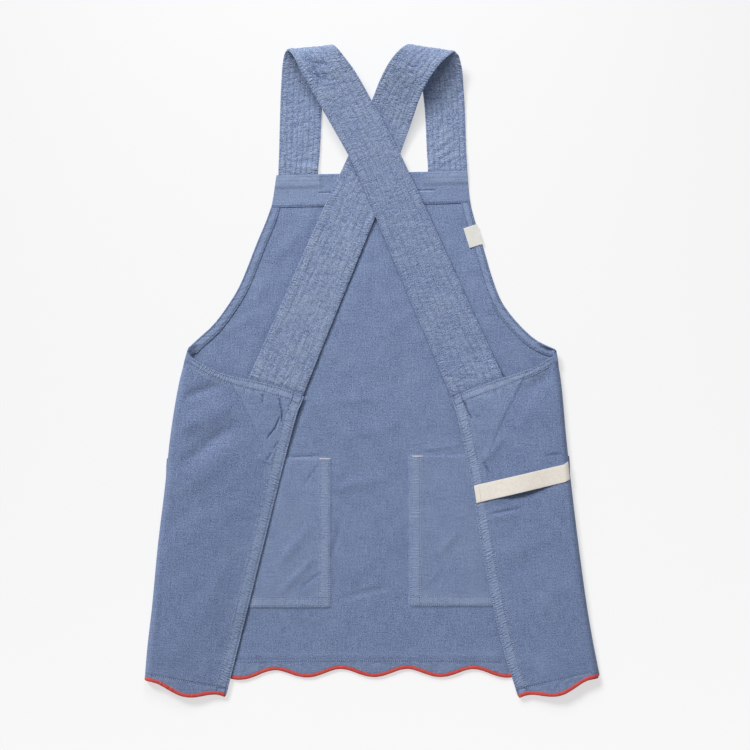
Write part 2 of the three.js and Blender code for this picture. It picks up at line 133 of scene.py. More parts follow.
# %% The draft, in millimetres
CLOTH, FACING, POCKET, STRAP, TAPE, LABEL, GAP = 1.2, 1.0, 0.8, 2.2, 1.0, 1.0, 0.35
BIB_TOP, BIB_TILT, BIB_HALF, BIB_FACING_DEPTH = 277.6, 0.0232, 140, 45
ARMHOLE_END, ARMHOLE_FACING_WIDTH = 29, 12.5
ARMHOLE = table(
    "y left right",
    (278, 133.6, 133.2), (229, 142, 138.5), (177, 162.5, 154), (121, 185, 171), (93, 201.5, 183.5),
    (65, 222.5, 206), (43, 246, 231), (29, 260.5, 260),
)
SIDE_FOLD = table(
    "y left right",
    (29, 257.5, 257), (-19, 270, 264.5), (-89, 281.5, 271), (-160, 289, 278.5), (-243, 299, 288.5),
    (-327, 307, 300), (-383, 313.5, 309.5), (-432, 317.5, 318),
)
BACK_EDGE = table(
    "y left right",
    (30, 78, 94), (-36, 95.5, 110.5), (-57, 104, 117.5), (-100, 116, 127.5), (-145, 127.5, 137.5),
    (-264, 157, 156.5), (-377, 185, 180.5), (-450, 203, 202.5),
)
BACK_TOP = table(
    "across left right",
    (0, 28, 27), (0.04, 21.8, 21.5), (0.11, 14, 14.3), (0.23, 3.2, 4.5), (0.31, -2.2, 0),
    (0.425, -8, -5.7), (0.55, -12, -11.5), (0.65, -16, -16.8), (0.75, -20.5, -22),
    (0.85, -25.3, -27.8), (0.95, -31.7, -34), (1, -35.3, -38),
)
HEM_Y, HEM_HALF = -432, 320
SCALLOP_PITCH, SCALLOP_RISE, SCALLOP_LOW = 93, 5.6, 2.8
FRONT_HEM, HEM_FACING_TOP = -416.6, -403
FRONT_DROOP = {"left": (17, 2.7), "right": (12, 5)}
BACK_HEM = {
    "left": {"at_fold": -433.5, "fall": 0.1875, "low": -261},
    "right": {"at_fold": -428.8, "fall": 0.24, "low": 261},
}
BACK_HEM_LIFT, BACK_HEM_REACH, BACK_HEM_ROW = 2.2, 9, 11
POCKETS = {
    "left": {"inner": 58, "top": -122, "bottom": -331},
    "right": {"inner": 53, "top": -118.5, "bottom": -329},
}


# %% Lines of the draft
def fold_line(side, y):
    return read(SIDE_FOLD, side, y)


def free_edge(side, y):
    return read(BACK_EDGE, side, y)


def armhole(side, y):
    return read(ARMHOLE, side, y)


def scallop(x, low):
    return SCALLOP_RISE * np.cos(2 * np.pi * (x - low) / SCALLOP_PITCH)


def front_edge(side, y):
    """How far the front panel reaches from the centre line: the armhole, then the side seam."""
    seam = fold_line(side, y) + CLOTH / 2
    return np.where(y <= ARMHOLE_END, seam, np.minimum(seam, armhole(side, y)))


def front_hem(x):
    droop = {}
    for side, (depth, power) in FRONT_DROOP.items():
        droop[side] = depth * (np.abs(x) / SIDE_FOLD[side][-1]) ** power
    return FRONT_HEM - by_side(x, droop["left"], droop["right"]) - scallop(x, SCALLOP_LOW)


def back_hem(side, x):
    hem = BACK_HEM[side]
    inward = SIDE_FOLD[side][-1] - np.abs(x)
    lift = BACK_HEM_LIFT * np.exp(-inward / BACK_HEM_REACH)
    return hem["at_fold"] + lift - hem["fall"] * inward - scallop(x, hem["low"])


print("Hem at the centre line:", round(float(front_hem(np.array(0.0))), 1), "mm")

# %% [markdown]
# ## Wrinkles
# Washed cloth is never flat. Three kinds of unevenness are added as real height: a slow drift over a
# hand's width, creases drawn where the cloth was folded, and the small puckers that a row of stitches
# pulls up when the thread shrinks. A noise texture with displacement could give the first kind, but
# then the stitches wouldn't know where the surface is.

# %% Drift and bumps
LATTICE = (97, 89)


def drift(x, y, seed):
    """Smooth noise from -1 to 1, with about one bump for each unit of x and y."""
    lattice = np.random.default_rng(seed).uniform(-1, 1, LATTICE)
    x, y = np.broadcast_arrays(np.asarray(x, float), np.asarray(y, float))
    i, j = np.floor(x).astype(int), np.floor(y).astype(int)
    u, v = ease(x - i), ease(y - j)
    corner = [
        lattice[(i + di) % LATTICE[0], (j + dj) % LATTICE[1]] for dj in (0, 1) for di in (0, 1)
    ]
    return mix(mix(corner[0], corner[1], u), mix(corner[2], corner[3], u), v)


def billow(x, y, seed):
    """Rounded bumps with sharp valleys between them, from 0 to 1, as shrunk cloth puckers."""
    x, y = np.broadcast_arrays(np.asarray(x, float), np.asarray(y, float))
    bent_x = x + 0.5 * drift(0.6 * x, 0.6 * y, seed + 101)
    bent_y = y + 0.5 * drift(0.6 * x + 5, 0.6 * y + 3, seed + 102)
    return np.minimum(1.7 * np.abs(drift(bent_x, bent_y, seed)), 1)


print("Drift at one place:", round(float(drift(0.5, 0.5, 3)), 3))

# %% Creases
def creases(x, y, rows):
    """Ridges, or valleys where the height is negative, along the table's straight lines."""
    total = np.zeros(np.broadcast(x, y).shape)
    for x0, y0, x1, y1, height, width in zip(*rows.values()):
        length = math.hypot(x1 - x0, y1 - y0)
        share = ((x - x0) * (x1 - x0) + (y - y0) * (y1 - y0)) / length**2
        t = np.clip(share, 0, 1)
        off = np.hypot(x - mix(x0, x1, t), y - mix(y0, y1, t))
        total += height * np.exp(-((off / width) ** 2)) * (1 - np.abs(2 * t - 1) ** 3)
    return total


SHARP_CREASE = 3


def sharp_valleys(x, y, rows):
    """How deep the narrow creases are, in mm, for the painted shade that darkens them."""
    narrow = {name: column[rows["width"] < SHARP_CREASE] for name, column in rows.items()}
    return np.maximum(-creases(x, y, narrow), 0)


# %% Rows of stitches and tucks
def groove(off, width=1.1):
    """The dent that a row of stitches makes, by the distance from the row."""
    return np.exp(-((off / width) ** 2))


ROW_INSET = 1.8


def two_rows(off, width, first=ROW_INSET):
    """Dents of the two rows that hold a sewn band, by the distance from the band's edge."""
    return groove(off - first) + groove(off - width + ROW_INSET)


def banded(off, width):
    """1 on a sewn band of this width, by the distance from its edge."""
    return 1 - ease((off - width) / 2 + 0.5)


def tucks(along, across, pitch, seed):
    """Short tucks across a sewn band, about one to a stitch and never quite even, from 0 to 1.3."""
    wander = 0.45 * drift(along / (3.5 * pitch), across / 7, seed)
    wave = 0.5 + 0.5 * np.cos(2 * np.pi * (along / pitch + wander))
    broken = drift(along / 2.2, across / 2.6, seed + 1)
    return wave * np.clip(0.7 + 0.7 * broken, 0, 1.3)


print("Dent at a row of stitches:", groove(0.0))

# %% Where the cloth is creased
CREASE = "x0 y0 x1 y1 height width"
FRONT_CREASES = table(
    CREASE,
    (-126, -121, -70, -118, -0.7, 1.4), (-124, -114, -66, -112, 0.4, 3),
    (68, -111, 137, -101, 0.6, 2.6), (-59, -42, 12, -38, 1.1, 6), (62, 40, 100, 60, 1.3, 5),
    (-46, -318, 28, -301, -0.9, 4.5), (-5, 222, -6, 95, 0.8, 5), (-98, 12, -62, 36, 1.2, 7),
    (-40, -92, 48, -70, 1.0, 10), (20, -190, 46, -262, 1.1, 8), (-48, -240, -22, -300, 1.3, 8),
    (-56, -262, -42, -205, -1.2, 4), (-52, -172, -22, -152, 1.2, 6), (-142, 148, -100, 198, 1.5, 9),
    (-172, 92, -140, 132, 1.2, 8), (-206, 52, -150, 88, 1.0, 7), (-76, -131, -98, -165, -0.8, 1.8),
    (-134, -275, -84, -212, 1.3, 7), (-126, -308, -80, -258, 1.3, 5.5),
    (-68, -278, -102, -306, -0.8, 2.2), (88, -262, 122, -222, 1.1, 7), (82, -296, 96, -272, 0.7, 4),
    (-38, -160, 20, -148, 0.9, 9), (-30, 20, 40, -8, 1.0, 12), (8, 66, 44, 24, 0.9, 7),
    (160, 78, 176, 118, 1.0, 7),
)
BACK_CREASES = {
    "left": table(
        CREASE,
        (-276, -40, -203, -17, -2.4, 8), (-277, -86, -190, -44, 2.4, 14),
        (-270, -134, -184, -68, -2.6, 9), (-267, -168, -186, -106, 1.6, 14),
        (-130, -36, -125, -60, -2.2, 1.3), (-125.5, -54, -126, -73, -2.2, 1.3),
        (-128, -62, -137, -84, -2.0, 1.3), (-135, -79, -148, -96, -2.0, 1.3),
        (-121, -40, -116, -70, 1.2, 3.4), (-131, -97, -137, -109, -1.2, 1.3),
        (-139, -113, -147, -125, -1.2, 1.3), (-152, -32, -153, -47, -1.4, 2.0),
        (-160, -118, -148, -128, 1.0, 3), (-215, -205, -168, -182, 1.1, 12),
        (-232, -340, -205, -262, 1.0, 14), (-262, -236, -230, -196, 1.0, 12),
        (-290, -405, -252, -372, 0.9, 12),
    ),
    "right": table(
        CREASE,
        (129, -40, 133, -54, -2.2, 1.3), (131, -50, 141, -68, -2.0, 1.3),
        (137, -44, 149, -64, 1.2, 3), (160, -201, 212, -190, -0.9, 2.2),
        (160, -209, 212, -198, 0.7, 6), (160, -182, 196, -178, 0.8, 4),
        (241, -118, 269, -115, -1.0, 2.0), (212, -30, 262, 5, -1.5, 8),
        (160, -126, 184, -88, 1.4, 6), (156, -126, 165, -144, -1.4, 2.2),
        (180, -262, 240, -232, 1.1, 14), (230, -360, 262, -290, 1.0, 14),
        (200, -70, 250, -52, 1.1, 14), (206, -330, 232, -390, 0.9, 10),
    ),
}
print("Creases on the front panel:", len(FRONT_CREASES["x0"]))

# %% [markdown]
# ## The front panel's sheet
# Bib and skirt are one cut of cloth. It lies flat, and rises a little over the two patch pockets that
# are sewn to its other face. Each pocket shows through as a raised double-stitched band along its
# inner side and its bottom, because its turned-in edges make three layers there. A cloth simulation
# over solid pockets would find this rise by itself, but a formula keeps each seam where it was sewn.

# %% Pockets that show through
POCKET_STEP, BAND_WIDTH, BAND_LOW_WIDTH, BAND_RISE = 4.2, 16.5, 15.0, 0.3
# The second value darkens the pockets' rows of stitches: painted shade of their grooves, partly dye kept
# in the seams.
TUCK_PITCH, POCKET_SHADE_AND_DYE = 4.0, -0.25


def pocket_sides(x):
    return [by_side(x, POCKETS["left"][k], POCKETS["right"][k]) for k in ("inner", "top", "bottom")]


def step_up(off):
    return ease(off / POCKET_STEP + 0.5)


def front_details(x, y):
    """Relief of the pockets' seams, in mm, and how worn the front panel is, with painted shade along the
    rows of stitches and in the narrow creases.
    """
    inner, top, bottom = pocket_sides(x)
    off, up = np.abs(x) - inner, y - bottom
    pocket = step_up(off) * step_up(top - y) * step_up(up)
    band = pocket * (1 - step_up(off - BAND_WIDTH) * step_up(up - BAND_LOW_WIDTH))
    rows = pocket * np.maximum(two_rows(off, BAND_WIDTH), two_rows(up, BAND_LOW_WIDTH) * (off > 0))
    ripples = np.where(up < BAND_LOW_WIDTH, tucks(x, y, TUCK_PITCH, 8), tucks(y, x, TUCK_PITCH, 7))
    puckers = band * ripples
    relief = (POCKET + GAP) * pocket + BAND_RISE * band + 0.5 * puckers - 0.45 * rows
    # Paler for wear on the pocket, its band and puckers. The rows of stitches get painted shade of their
    # grooves, partly dye kept in the seams, and the narrow creases get painted shade.
    worn_and_shaded = mix(0.09 + 0.16 * pocket + 0.24 * band + 0.4 * puckers, POCKET_SHADE_AND_DYE, rows)
    return relief, worn_and_shaded - 0.3 * sharp_valleys(x, y, FRONT_CREASES)


print("Pocket bands are", BAND_WIDTH, "mm wide")

# %% Folds of the front panel
STRAPS_LIE = table(
    "y right_going left_going",
    (278, 15, -10), (184, 56.5, -47.5), (80, 102, -92), (-28, 148.5, -138),
)
STRAP_REACH, STRAP_FADE, STRAPS_END = 40, 12, -60
PANELS_FROM, PANEL_FADE = -30, 14
BIB_PRESSED, BIB_FADE, HIGHEST_FOLD = 215, 20, 3.0


def beside_straps(x, y):
    """0 where a strap presses the front panel flat, 1 clear of the straps."""
    clear = 1.0
    for column in ("right_going", "left_going"):
        off = np.abs(x - read(STRAPS_LIE, column, y))
        clear = clear * ease((off - STRAP_REACH) / STRAP_FADE)
    return np.where(y < STRAPS_END, 1, clear)


def under_panels(x, y):
    """1 under the back panels and along their free edges, 0 clear of them."""
    edge = nearest(free_edge, x, y)
    return np.where(y < PANELS_FROM, ease((np.abs(x) - edge + PANEL_FADE) / PANEL_FADE), 0)


def front_folds(x, y):
    """Drift and creases of the front panel, calmer where something lies on it."""
    pressed = ease((y - BIB_PRESSED) / BIB_FADE)
    calm = (1 - 0.75 * pressed) * (0.3 + 0.7 * beside_straps(x, y))
    calm = calm * (1 - 0.6 * under_panels(x, y))
    slow = 0.6 * (1 + drift(x / 74, y / 58, 3)) + 0.5 * (1 + drift(x / 23, y / 28, 5))
    small = 0.18 * (1 + drift(x / 8, y / 9, 6))
    over_hem = 0.5 * groove(y - (HEM_FACING_TOP + 4.5), 4)
    folds = calm * (slow + small + creases(x, y, FRONT_CREASES))
    return np.clip(folds + over_hem, 0, HIGHEST_FOLD)


# %% Height of the front panel
CURL_HEIGHT, CURL_REACH, CURL_TOP, CURL_LOW = 9, 7.5, 44, 6
CURL_TOP_RAMP, CURL_LOW_RAMP = 14, 9


def corner_curl(x, y):
    """At the armhole's foot the front's edge curls up into the side fold."""
    inward = nearest(front_edge, x, y) - np.abs(x)
    window = ease((y - CURL_LOW) / CURL_LOW_RAMP) * ease((CURL_TOP - y) / CURL_TOP_RAMP)
    return CURL_HEIGHT * window * np.exp(-((np.maximum(inward, 0) / CURL_REACH) ** 2))


def front_height(x, y):
    """Height of the front panel's middle surface above the table."""
    return CLOTH / 2 + corner_curl(x, y) + front_folds(x, y) + front_details(x, y)[0]


print("Front panel at the centre:", round(float(front_height(np.array(0.0), np.array(0.0))), 2), "mm up")

# %% [markdown]
# ## The back panels' sheets
# Each back panel stands up from the side seam, bends over, and falls slowly towards its free edge.
# Its top edge and its free edge are turned in twice and sewn with two rows, which leaves a lighter
# raised band. A triangle of cloth is sewn behind its upper corner, where the strap pulls. A Bend
# modifier could fold a flat panel, but measuring along the cloth keeps the panel's true size.

# %% Measures on a back panel
FOLD_HEIGHT, BEND_REACH, BEND_CLOTH, BACK_FLAT = 13, 8, 15, 140
EDGE_HEIGHT, CORNER_HEIGHT, OVER_HEM = 4.2, 5.9, 0.9
CORNER_FROM, CORNER_RAMP, OVER_HEM_FROM, OVER_HEM_RAMP = -130, 70, -385, 25
PLACKET, TOP_BAND, TOP_BAND_NARROW, EDGE_ROW = 16.5, 13.0, 10.0, 2.2
EDGE_SLANT, TOP_SLANT = 0.97, 0.95
# The first value darkens rows of stitches and seams: painted shade of their grooves, partly dye kept in
# the seams.
SEAM_SHADE_AND_DYE, BACK_SEED = -0.6, 20
PATCHES = {
    "left": table("y x", (-24, -193), (-72.4, -167.5), (-136, -141)),
    "right": table("y x", (-21, 206), (-81.5, 176.5), (-130, 159)),
}


def back_part(side, x, y):
    """Share of the way from the bend to the free edge."""
    start = fold_line(side, y) - BEND_REACH
    return (start - np.abs(x)) / (start - free_edge(side, y))


def back_crown(side, x, y):
    """The panel's smooth height: highest beside the side fold."""
    edge = mix(EDGE_HEIGHT, CORNER_HEIGHT, ease((y - CORNER_FROM) / CORNER_RAMP))
    edge = edge + OVER_HEM * ease((OVER_HEM_FROM - y) / OVER_HEM_RAMP)
    return edge + (FOLD_HEIGHT - edge) * (1 - np.clip(back_part(side, x, y), 0, 1) ** 2)


def from_free_edge(side, x, y):
    return EDGE_SLANT * (np.abs(x) - free_edge(side, y))


def from_top_edge(side, x, y):
    across = (BEND_REACH + back_part(side, x, y) * BACK_FLAT) / (BEND_REACH + BACK_FLAT)
    return TOP_SLANT * (read(BACK_TOP, side, across) - y)


def from_patch_line(side, x, y):
    """Distance from the patch's slanting seam, positive towards the free edge."""
    return np.abs(read(PATCHES[side], "x", y)) - np.abs(x)


def top_band_width(part):
    """The turned-in top band is narrow at the side fold and wider over the strap's end."""
    return mix(TOP_BAND_NARROW, TOP_BAND, ease((part - 0.25) / 0.3))


def on_patch(side, x, y):
    """1 where a corner patch is sewn behind the panel."""
    low = ease((y - PATCHES[side]["y"][-1]) / 10)
    return ease(from_patch_line(side, x, y) / 2.4 + 0.5) * low


def hem_line(side, x):
    """The straight row of stitches above the scalloped hem."""
    hem = BACK_HEM[side]
    return hem["at_fold"] + BACK_HEM_ROW - hem["fall"] * (SIDE_FOLD[side][-1] - np.abs(x))


# %% Relief and wear of a back panel
def back_details(side, x, y):
    """Relief over the smooth sheet, in mm, and wear with painted highlights and shade: seams, bands,
    puckers and folds make both.
    """
    edge, top = from_free_edge(side, x, y), from_top_edge(side, x, y)
    width = top_band_width(back_part(side, x, y))
    placket, band, patch = banded(edge, PLACKET), banded(top, width), on_patch(side, x, y)
    over_hem = y - hem_line(side, x)
    seed = BACK_SEED + SIGN[side]
    below_band = np.exp(-((np.maximum(top - width, 0) / 9) ** 2))
    corner = patch * (0.25 + 0.75 * below_band) * billow(x / 7, y / 8, seed + 13)
    hem = banded(over_hem, 0) * billow(x / 4.5, y / 9, seed + 15)
    puckers = [
        placket * tucks(y - 0.5 * edge, edge, TUCK_PITCH, seed + 7),
        band * tucks(SIGN[side] * x - 0.5 * top, top, TUCK_PITCH, seed + 9),
        0.5 * billow(x / 9, y / 6, seed + 11) * np.exp(-np.maximum(edge - PLACKET, 0) / 6),
        0.8 * corner,
        0.6 * hem,
    ]
    puckers = np.maximum.reduce(puckers)
    rows = two_rows(edge, PLACKET, EDGE_ROW) + two_rows(top, width, EDGE_ROW) * ease((edge - 1) / 3)
    rows += 0.5 * groove(from_patch_line(side, x, y), 1.4) * patch
    rows = np.minimum(rows + groove(over_hem, 1.4), 1.2)
    slow = 0.9 * drift(x / 52, y / 64, seed) + 0.4 * drift(x / 19, y / 23, seed + 5)
    small = 0.16 * drift(x / 8, y / 9, seed + 6)
    folds = slow + small + creases(x, y, BACK_CREASES[side])
    raised = np.maximum.reduce([0.5 * placket, 0.5 * band, 0.8 * patch])
    relief = folds * (1 - 0.6 * band) + raised + 0.95 * puckers - 0.65 * rows
    worn_and_shaded = 0.14 * patch + 0.36 * puckers + 0.38 * np.maximum(placket, banded(top, TOP_BAND))
    # A painted highlight runs along the pressed top and free edges, partly wear of the edge. The rows of
    # stitches and the patch line get painted shade, partly dye kept in the seams, and the narrow creases
    # get painted shade.
    worn_and_shaded = mix(worn_and_shaded + 0.4 * groove(np.minimum(top, edge), 1.3), SEAM_SHADE_AND_DYE, np.minimum(rows, 1))
    return relief, worn_and_shaded - 0.4 * sharp_valleys(x, y, BACK_CREASES[side])


# %% Points of a back panel
def back_height(side, x, y):
    fade_and_highlight = ease(back_part(side, x, y) / 0.05)
    return back_crown(side, x, y) + fade_and_highlight * back_details(side, x, y)[0]


def back_sheet(side, cloth_from_seam, down, below=0.0):
    """Points of a back panel, by the cloth's distance from the seam and the share of the way down."""
    turn = np.clip(cloth_from_seam / BEND_CLOTH, 0, 1) * np.pi / 2
    part = np.clip((cloth_from_seam - BEND_CLOTH) / BACK_FLAT, 0, 1)
    reach_in = BEND_REACH * (1 - np.cos(turn)) + part * BACK_FLAT
    across = reach_in / (BEND_REACH + BACK_FLAT)
    hem_x = SIGN[side] * mix(SIDE_FOLD[side][-1], BACK_EDGE[side][-1], across)
    y = mix(read(BACK_TOP, side, across), back_hem(side, hem_x) - below, down)
    fold = fold_line(side, y)
    flat = fold - BEND_REACH
    reach = flat + BEND_REACH * np.cos(turn) - part * (flat - free_edge(side, y))
    x = SIGN[side] * reach
    foot = front_height(SIGN[side] * fold, y) + CLOTH / 2 + GAP
    z = np.where(part > 0, back_height(side, x, y), mix(foot, back_crown(side, x, y), np.sin(turn)))
    return joined(x, y, z)


print("Left panel's height at its fold and edge:", FOLD_HEIGHT, EDGE_HEIGHT, "mm")

# %% [markdown]
# ## The straps' bands
# A strap starts inside the bib's facing, runs up, rolls over at the shoulder, comes back over the
# front and ends under the opposite back panel. Each row of the table is one cross line of the band:
# its middle, its length and its slope. Two layers are quilted with lengthwise rows, and washing
# shrinks the thread, so the channels between the rows puff up and crinkle. A curve with a bevel could
# carry the band too, but here the slope of every cross line can be measured and set.

# %% Cross lines of the straps
STRAPS = {
    "left": table(
        "x y z span turn",
        (-103.5, 266, 2.75, 55, 1.4), (-103.2, 281, 2.75, 55.5, 1.4), (-101.5, 305, 1.5, 57, 1.4),
        (-99, 372, 1.35, 58.5, 1.4), (-97, 405, 2.6, 59.5, 1.6), (-93.6, 434.5, 8.5, 61.5, 2.6),
        (-87.8, 450.5, 18, 63, 4.5), (-79, 444.5, 25.5, 62, 10), (-67.5, 426, 26, 64, 19.5),
        (-51.5, 401, 22, 66, 27), (-31, 365, 17.4, 66, 29), (-5, 318.6, 13.6, 65.5, 28.8),
        (15, 278, 10, 66.8, 28), (56.5, 184, 5.4, 71, 24), (102, 80, 4.2, 74.5, 22),
        (150, -28, 5.2, 78, 19.2),
    ),
    "right": table(
        "x y z span turn",
        (105.8, 270, 2.75, 54.8, 1), (105.6, 286, 2.75, 54.8, 0.8), (104.2, 310, 1.4, 55, 0.4),
        (102, 365, 1.8, 56, -0.6), (99, 397, 6, 58, -2), (94.5, 428.5, 15, 61, -4.5),
        (84.8, 449, 26, 64.5, -8), (69, 440, 33.5, 61, -16), (52.5, 420, 32, 60, -22.5),
        (39.5, 395, 22, 61, -24.5), (24.5, 355, 9.5, 63, -25.5), (9.5, 317.5, 5.4, 65.5, -25),
        (-8, 274, 4.9, 68.5, -24.5), (-28.8, 228, 4.2, 71, -24.5), (-68.5, 135, 3.8, 74.5, -25),
        (-107.5, 43, 4, 77.5, -26.5), (-139, -32, 5.2, 80, -21),
    ),
}
UNDER = {"left": "right", "right": "left"}
STRAP_SEATING = 55
STRAP_WALL, STRAP_PRESSED = STRAP * 0.74, 1.1
STRAP_BELOW, STRAP_ABOVE = 0.3, 1.0
STRAP_SEED = 50
QUILT_ROWS, QUILT_EDGE, QUILT_PITCH = 8, 0.465, 8.5
for side, strap in STRAPS.items():
    along = run_along(joined(strap["x"], strap["y"], strap["z"]))
    STRAPS[side] = {"along": along, **strap}
    print(side, "strap's length:", round(along[-1]), "mm")


def seated(side, along, y):
    """1 where the strap's far end lies against the underside of the back panel."""
    strap = STRAPS[side]
    return np.where(along > strap["along"][-1] / 2, ease(1 - (y - strap["y"][-1]) / STRAP_SEATING), 0)


def sewn_in(along):
    """1 at the strap's start, which is pressed flat inside the bib's facing."""
    return ease(1 - (along - 1) / 9)


def strap_band(side, along, part):
    """Points of a strap's middle surface, along it and from -0.5 to 0.5 across it."""
    strap = STRAPS[side]
    x, y, z, span, turn = [read(strap, name, along) for name in "x y z span turn".split()]
    share = seated(side, along, y)
    x = x + part * span * np.cos(np.radians(turn))
    y = y + part * span * np.sin(np.radians(turn))
    held = back_crown(UNDER[side], x, y) - (CLOTH / 2 + GAP + STRAP_WALL / 2 + STRAP_BELOW)
    z = mix(mix(z, held, share), CLOTH + STRAP_ABOVE + STRAP_PRESSED / 2, sewn_in(along))
    return joined(x, y, z)


# %% Folds of the straps
STRAP_FOLDS = {
    "left": table(
        CREASE,
        (-112, 283, -90, 288, 1.7, 3.2), (-90, 288, -74, 281, 1.6, 3),
        (-116, 291, -84, 296, -1.0, 3),
    ),
    "right": table(
        CREASE,
        (78, 302, 118, 336, 1.3, 4.5), (80, 291, 122, 322, 1.2, 4.2), (78, 314, 112, 345, 0.8, 4.5),
        (84, 284, 124, 306, 0.8, 3.6),
    ),
}
# Creases after the roll, where the strap bends and turns. The narrow ones also get painted shade.
ROLL_FOLDS = {
    "left": table(
        CREASE,
        (-92, 418, -60, 414, -1.0, 13), (-96, 431, -58, 428, -0.9, 2.2),
        (-84, 426, -72, 406, -1.1, 2.4), (-92, 418, -58, 404, -0.8, 2.0),
        (-76, 421, -62, 418, 0.9, 2.6), (-78, 404, -70, 397, -0.8, 2.0),
    ),
    "right": table(
        CREASE,
        (44, 428, 64, 423, -0.8, 2.2), (46, 418, 60, 415, -0.8, 2.2),
    ),
}
# How strongly the quilting is crinkled along each strap.
LIVELY = table(
    "share left right",
    (0, 0.9, 0.85), (0.1, 0.9, 0.85), (0.2, 0.8, 0.9), (0.3, 1.1, 1.1), (0.42, 0.75, 1.0),
    (0.55, 0.6, 0.85), (0.7, 0.65, 0.95), (0.9, 0.65, 0.85), (1, 0.75, 1.0),
)

print("Quilting rows on a strap:", QUILT_ROWS)

# %% Crinkle and puff of the quilting
def quilting(side, along, part, points):
    """Crinkle of the whole band and puff of each face, in mm, and the painted shade of its rows and
    valleys.
    """
    strap = STRAPS[side]
    across = part * read(strap, "span", along)
    share = along / strap["along"][-1]
    seed = STRAP_SEED + SIGN[side]
    last = QUILT_ROWS - 1
    waver = 0.012 * drift(along / 16, 3 * part, seed + 6)
    channel = (part + waver + QUILT_EDGE) / (2 * QUILT_EDGE) * last
    inside = (channel > 0) & (channel < last)
    arch = np.where(inside, np.abs(np.sin(np.pi * channel)) ** 0.55, 0)
    plan = plan_of(points)
    below = from_top_edge(UNDER[side], *plan)
    hidden = np.where(share > 0.5, ease((below + 6) / 6), ease(1 - (along - 6) / 6))
    lively = read(LIVELY, side, share) * np.clip(1 - hidden, 0, 1)
    near_end = np.where(share > 0.5, groove(below, 34), groove(along - 12, 13))
    fine = billow(along / 2.0, across / 3.2, seed)
    long = billow((along + 0.35 * across) / 19, across / 5.5, seed + 3)
    short = billow((along - 0.3 * across) / 4.6, across / 15, seed + 4)
    outer = np.clip(np.abs(channel - last / 2) - last / 2 + 1.3, 0, 1)
    ladder = 0.7 * outer * tucks(along + 0.3 * across, across, 3.6, seed + 2)
    crumple = 0.3 * fine + 0.55 * long + (0.5 + 0.4 * near_end) * short
    early = 1 - ease((share - 0.2) / 0.06)
    folds = creases(*plan, STRAP_FOLDS[side]) * early + creases(*plan, ROLL_FOLDS[side]) * (1 - early)
    puff = arch * (0.2 + 0.3 * fine) * np.minimum(lively, 1)
    row = groove((channel - np.round(channel)) * QUILT_PITCH, 1.0) * (np.abs(part) < QUILT_EDGE + 0.01)
    valley = 0.8 * (1 - fine) ** 4 + 1.1 * (1 - long) ** 7 + (0.9 + 0.5 * near_end) * (1 - short) ** 7
    # Painted shade: darker along the quilting rows, in the crinkle's valleys and in the narrow creases
    # after the roll.
    shade = mix(0.14, 0.34, early) * row + 0.26 * valley * np.minimum(lively, 1)
    shade = shade + 0.3 * sharp_valleys(*plan, ROLL_FOLDS[side]) * (1 - early)
    return (crumple + ladder) * lively + folds, puff, shade


# %% [markdown]
# ## Finishes
# Everything blue is one plain-weave cloth of cotton and linen, piece-dyed and then washed, so the dye
# has worn off where the cloth stands proud and has stayed in the seams. A real plain weave has a thread
# every half millimetre, finer than a pixel here. So the threads are drawn 0.7 mm wide, with soft streaks
# for the thicker yarns of linen: the eye gets an uneven grain, and not single threads. Noise stretched
# along each thread makes it, which is lighter than real threads and needs no image. Each vertex
# carries two values for the finish: where it lies on the flat cut, so that the threads follow the
# cloth, and a value for wear and painted shading. Above zero is paler, for wear and for highlights
# painted along pressed edges. Below zero is painted shade in seams, creases and hollows, partly dye
# kept in the seams.

# %% Colour and node helpers
def linear(hex_colour):
    parts = [int(hex_colour[i : i + 2], 16) / 255 for i in (1, 3, 5)]
    return (*[c / 12.92 if c <= 0.04045 else ((c + 0.055) / 1.055) ** 2.4 for c in parts], 1.0)


def empty_material(name):
    made = bpy.data.materials.new(name)
    made.use_nodes = True
    made.node_tree.nodes.clear()
    return made, made.node_tree


def node(tree, kind, inputs=None, **settings):
    """Adds a node with its settings and inputs, as values or links, and gives its outputs."""
    made = tree.nodes.new(kind)
    for name, value in settings.items():
        setattr(made, name, value)
    for socket, value in (inputs or {}).items():
        if isinstance(value, bpy.types.NodeSocket):
            tree.links.new(value, made.inputs[socket])
        else:
            made.inputs[socket].default_value = value
    return made.outputs


# %% A woven finish
LUMP_MM, CLOUD_MM = 0.68, 38
SLUB_WIDE_MM, SLUB_LONG_MM, SLUB_SHARE = 1.2, 22, 0.3
GRAIN_LOW, GRAIN_HIGH, CLOUD_SHARE = 1.62, 1.98, 0.7
# The first is the deep tone of painted shade in seams, creases and hollows, partly dye kept in the seams.
SHADE_AND_KEPT_DYE, SHEEN = "#3f5074", 0.06


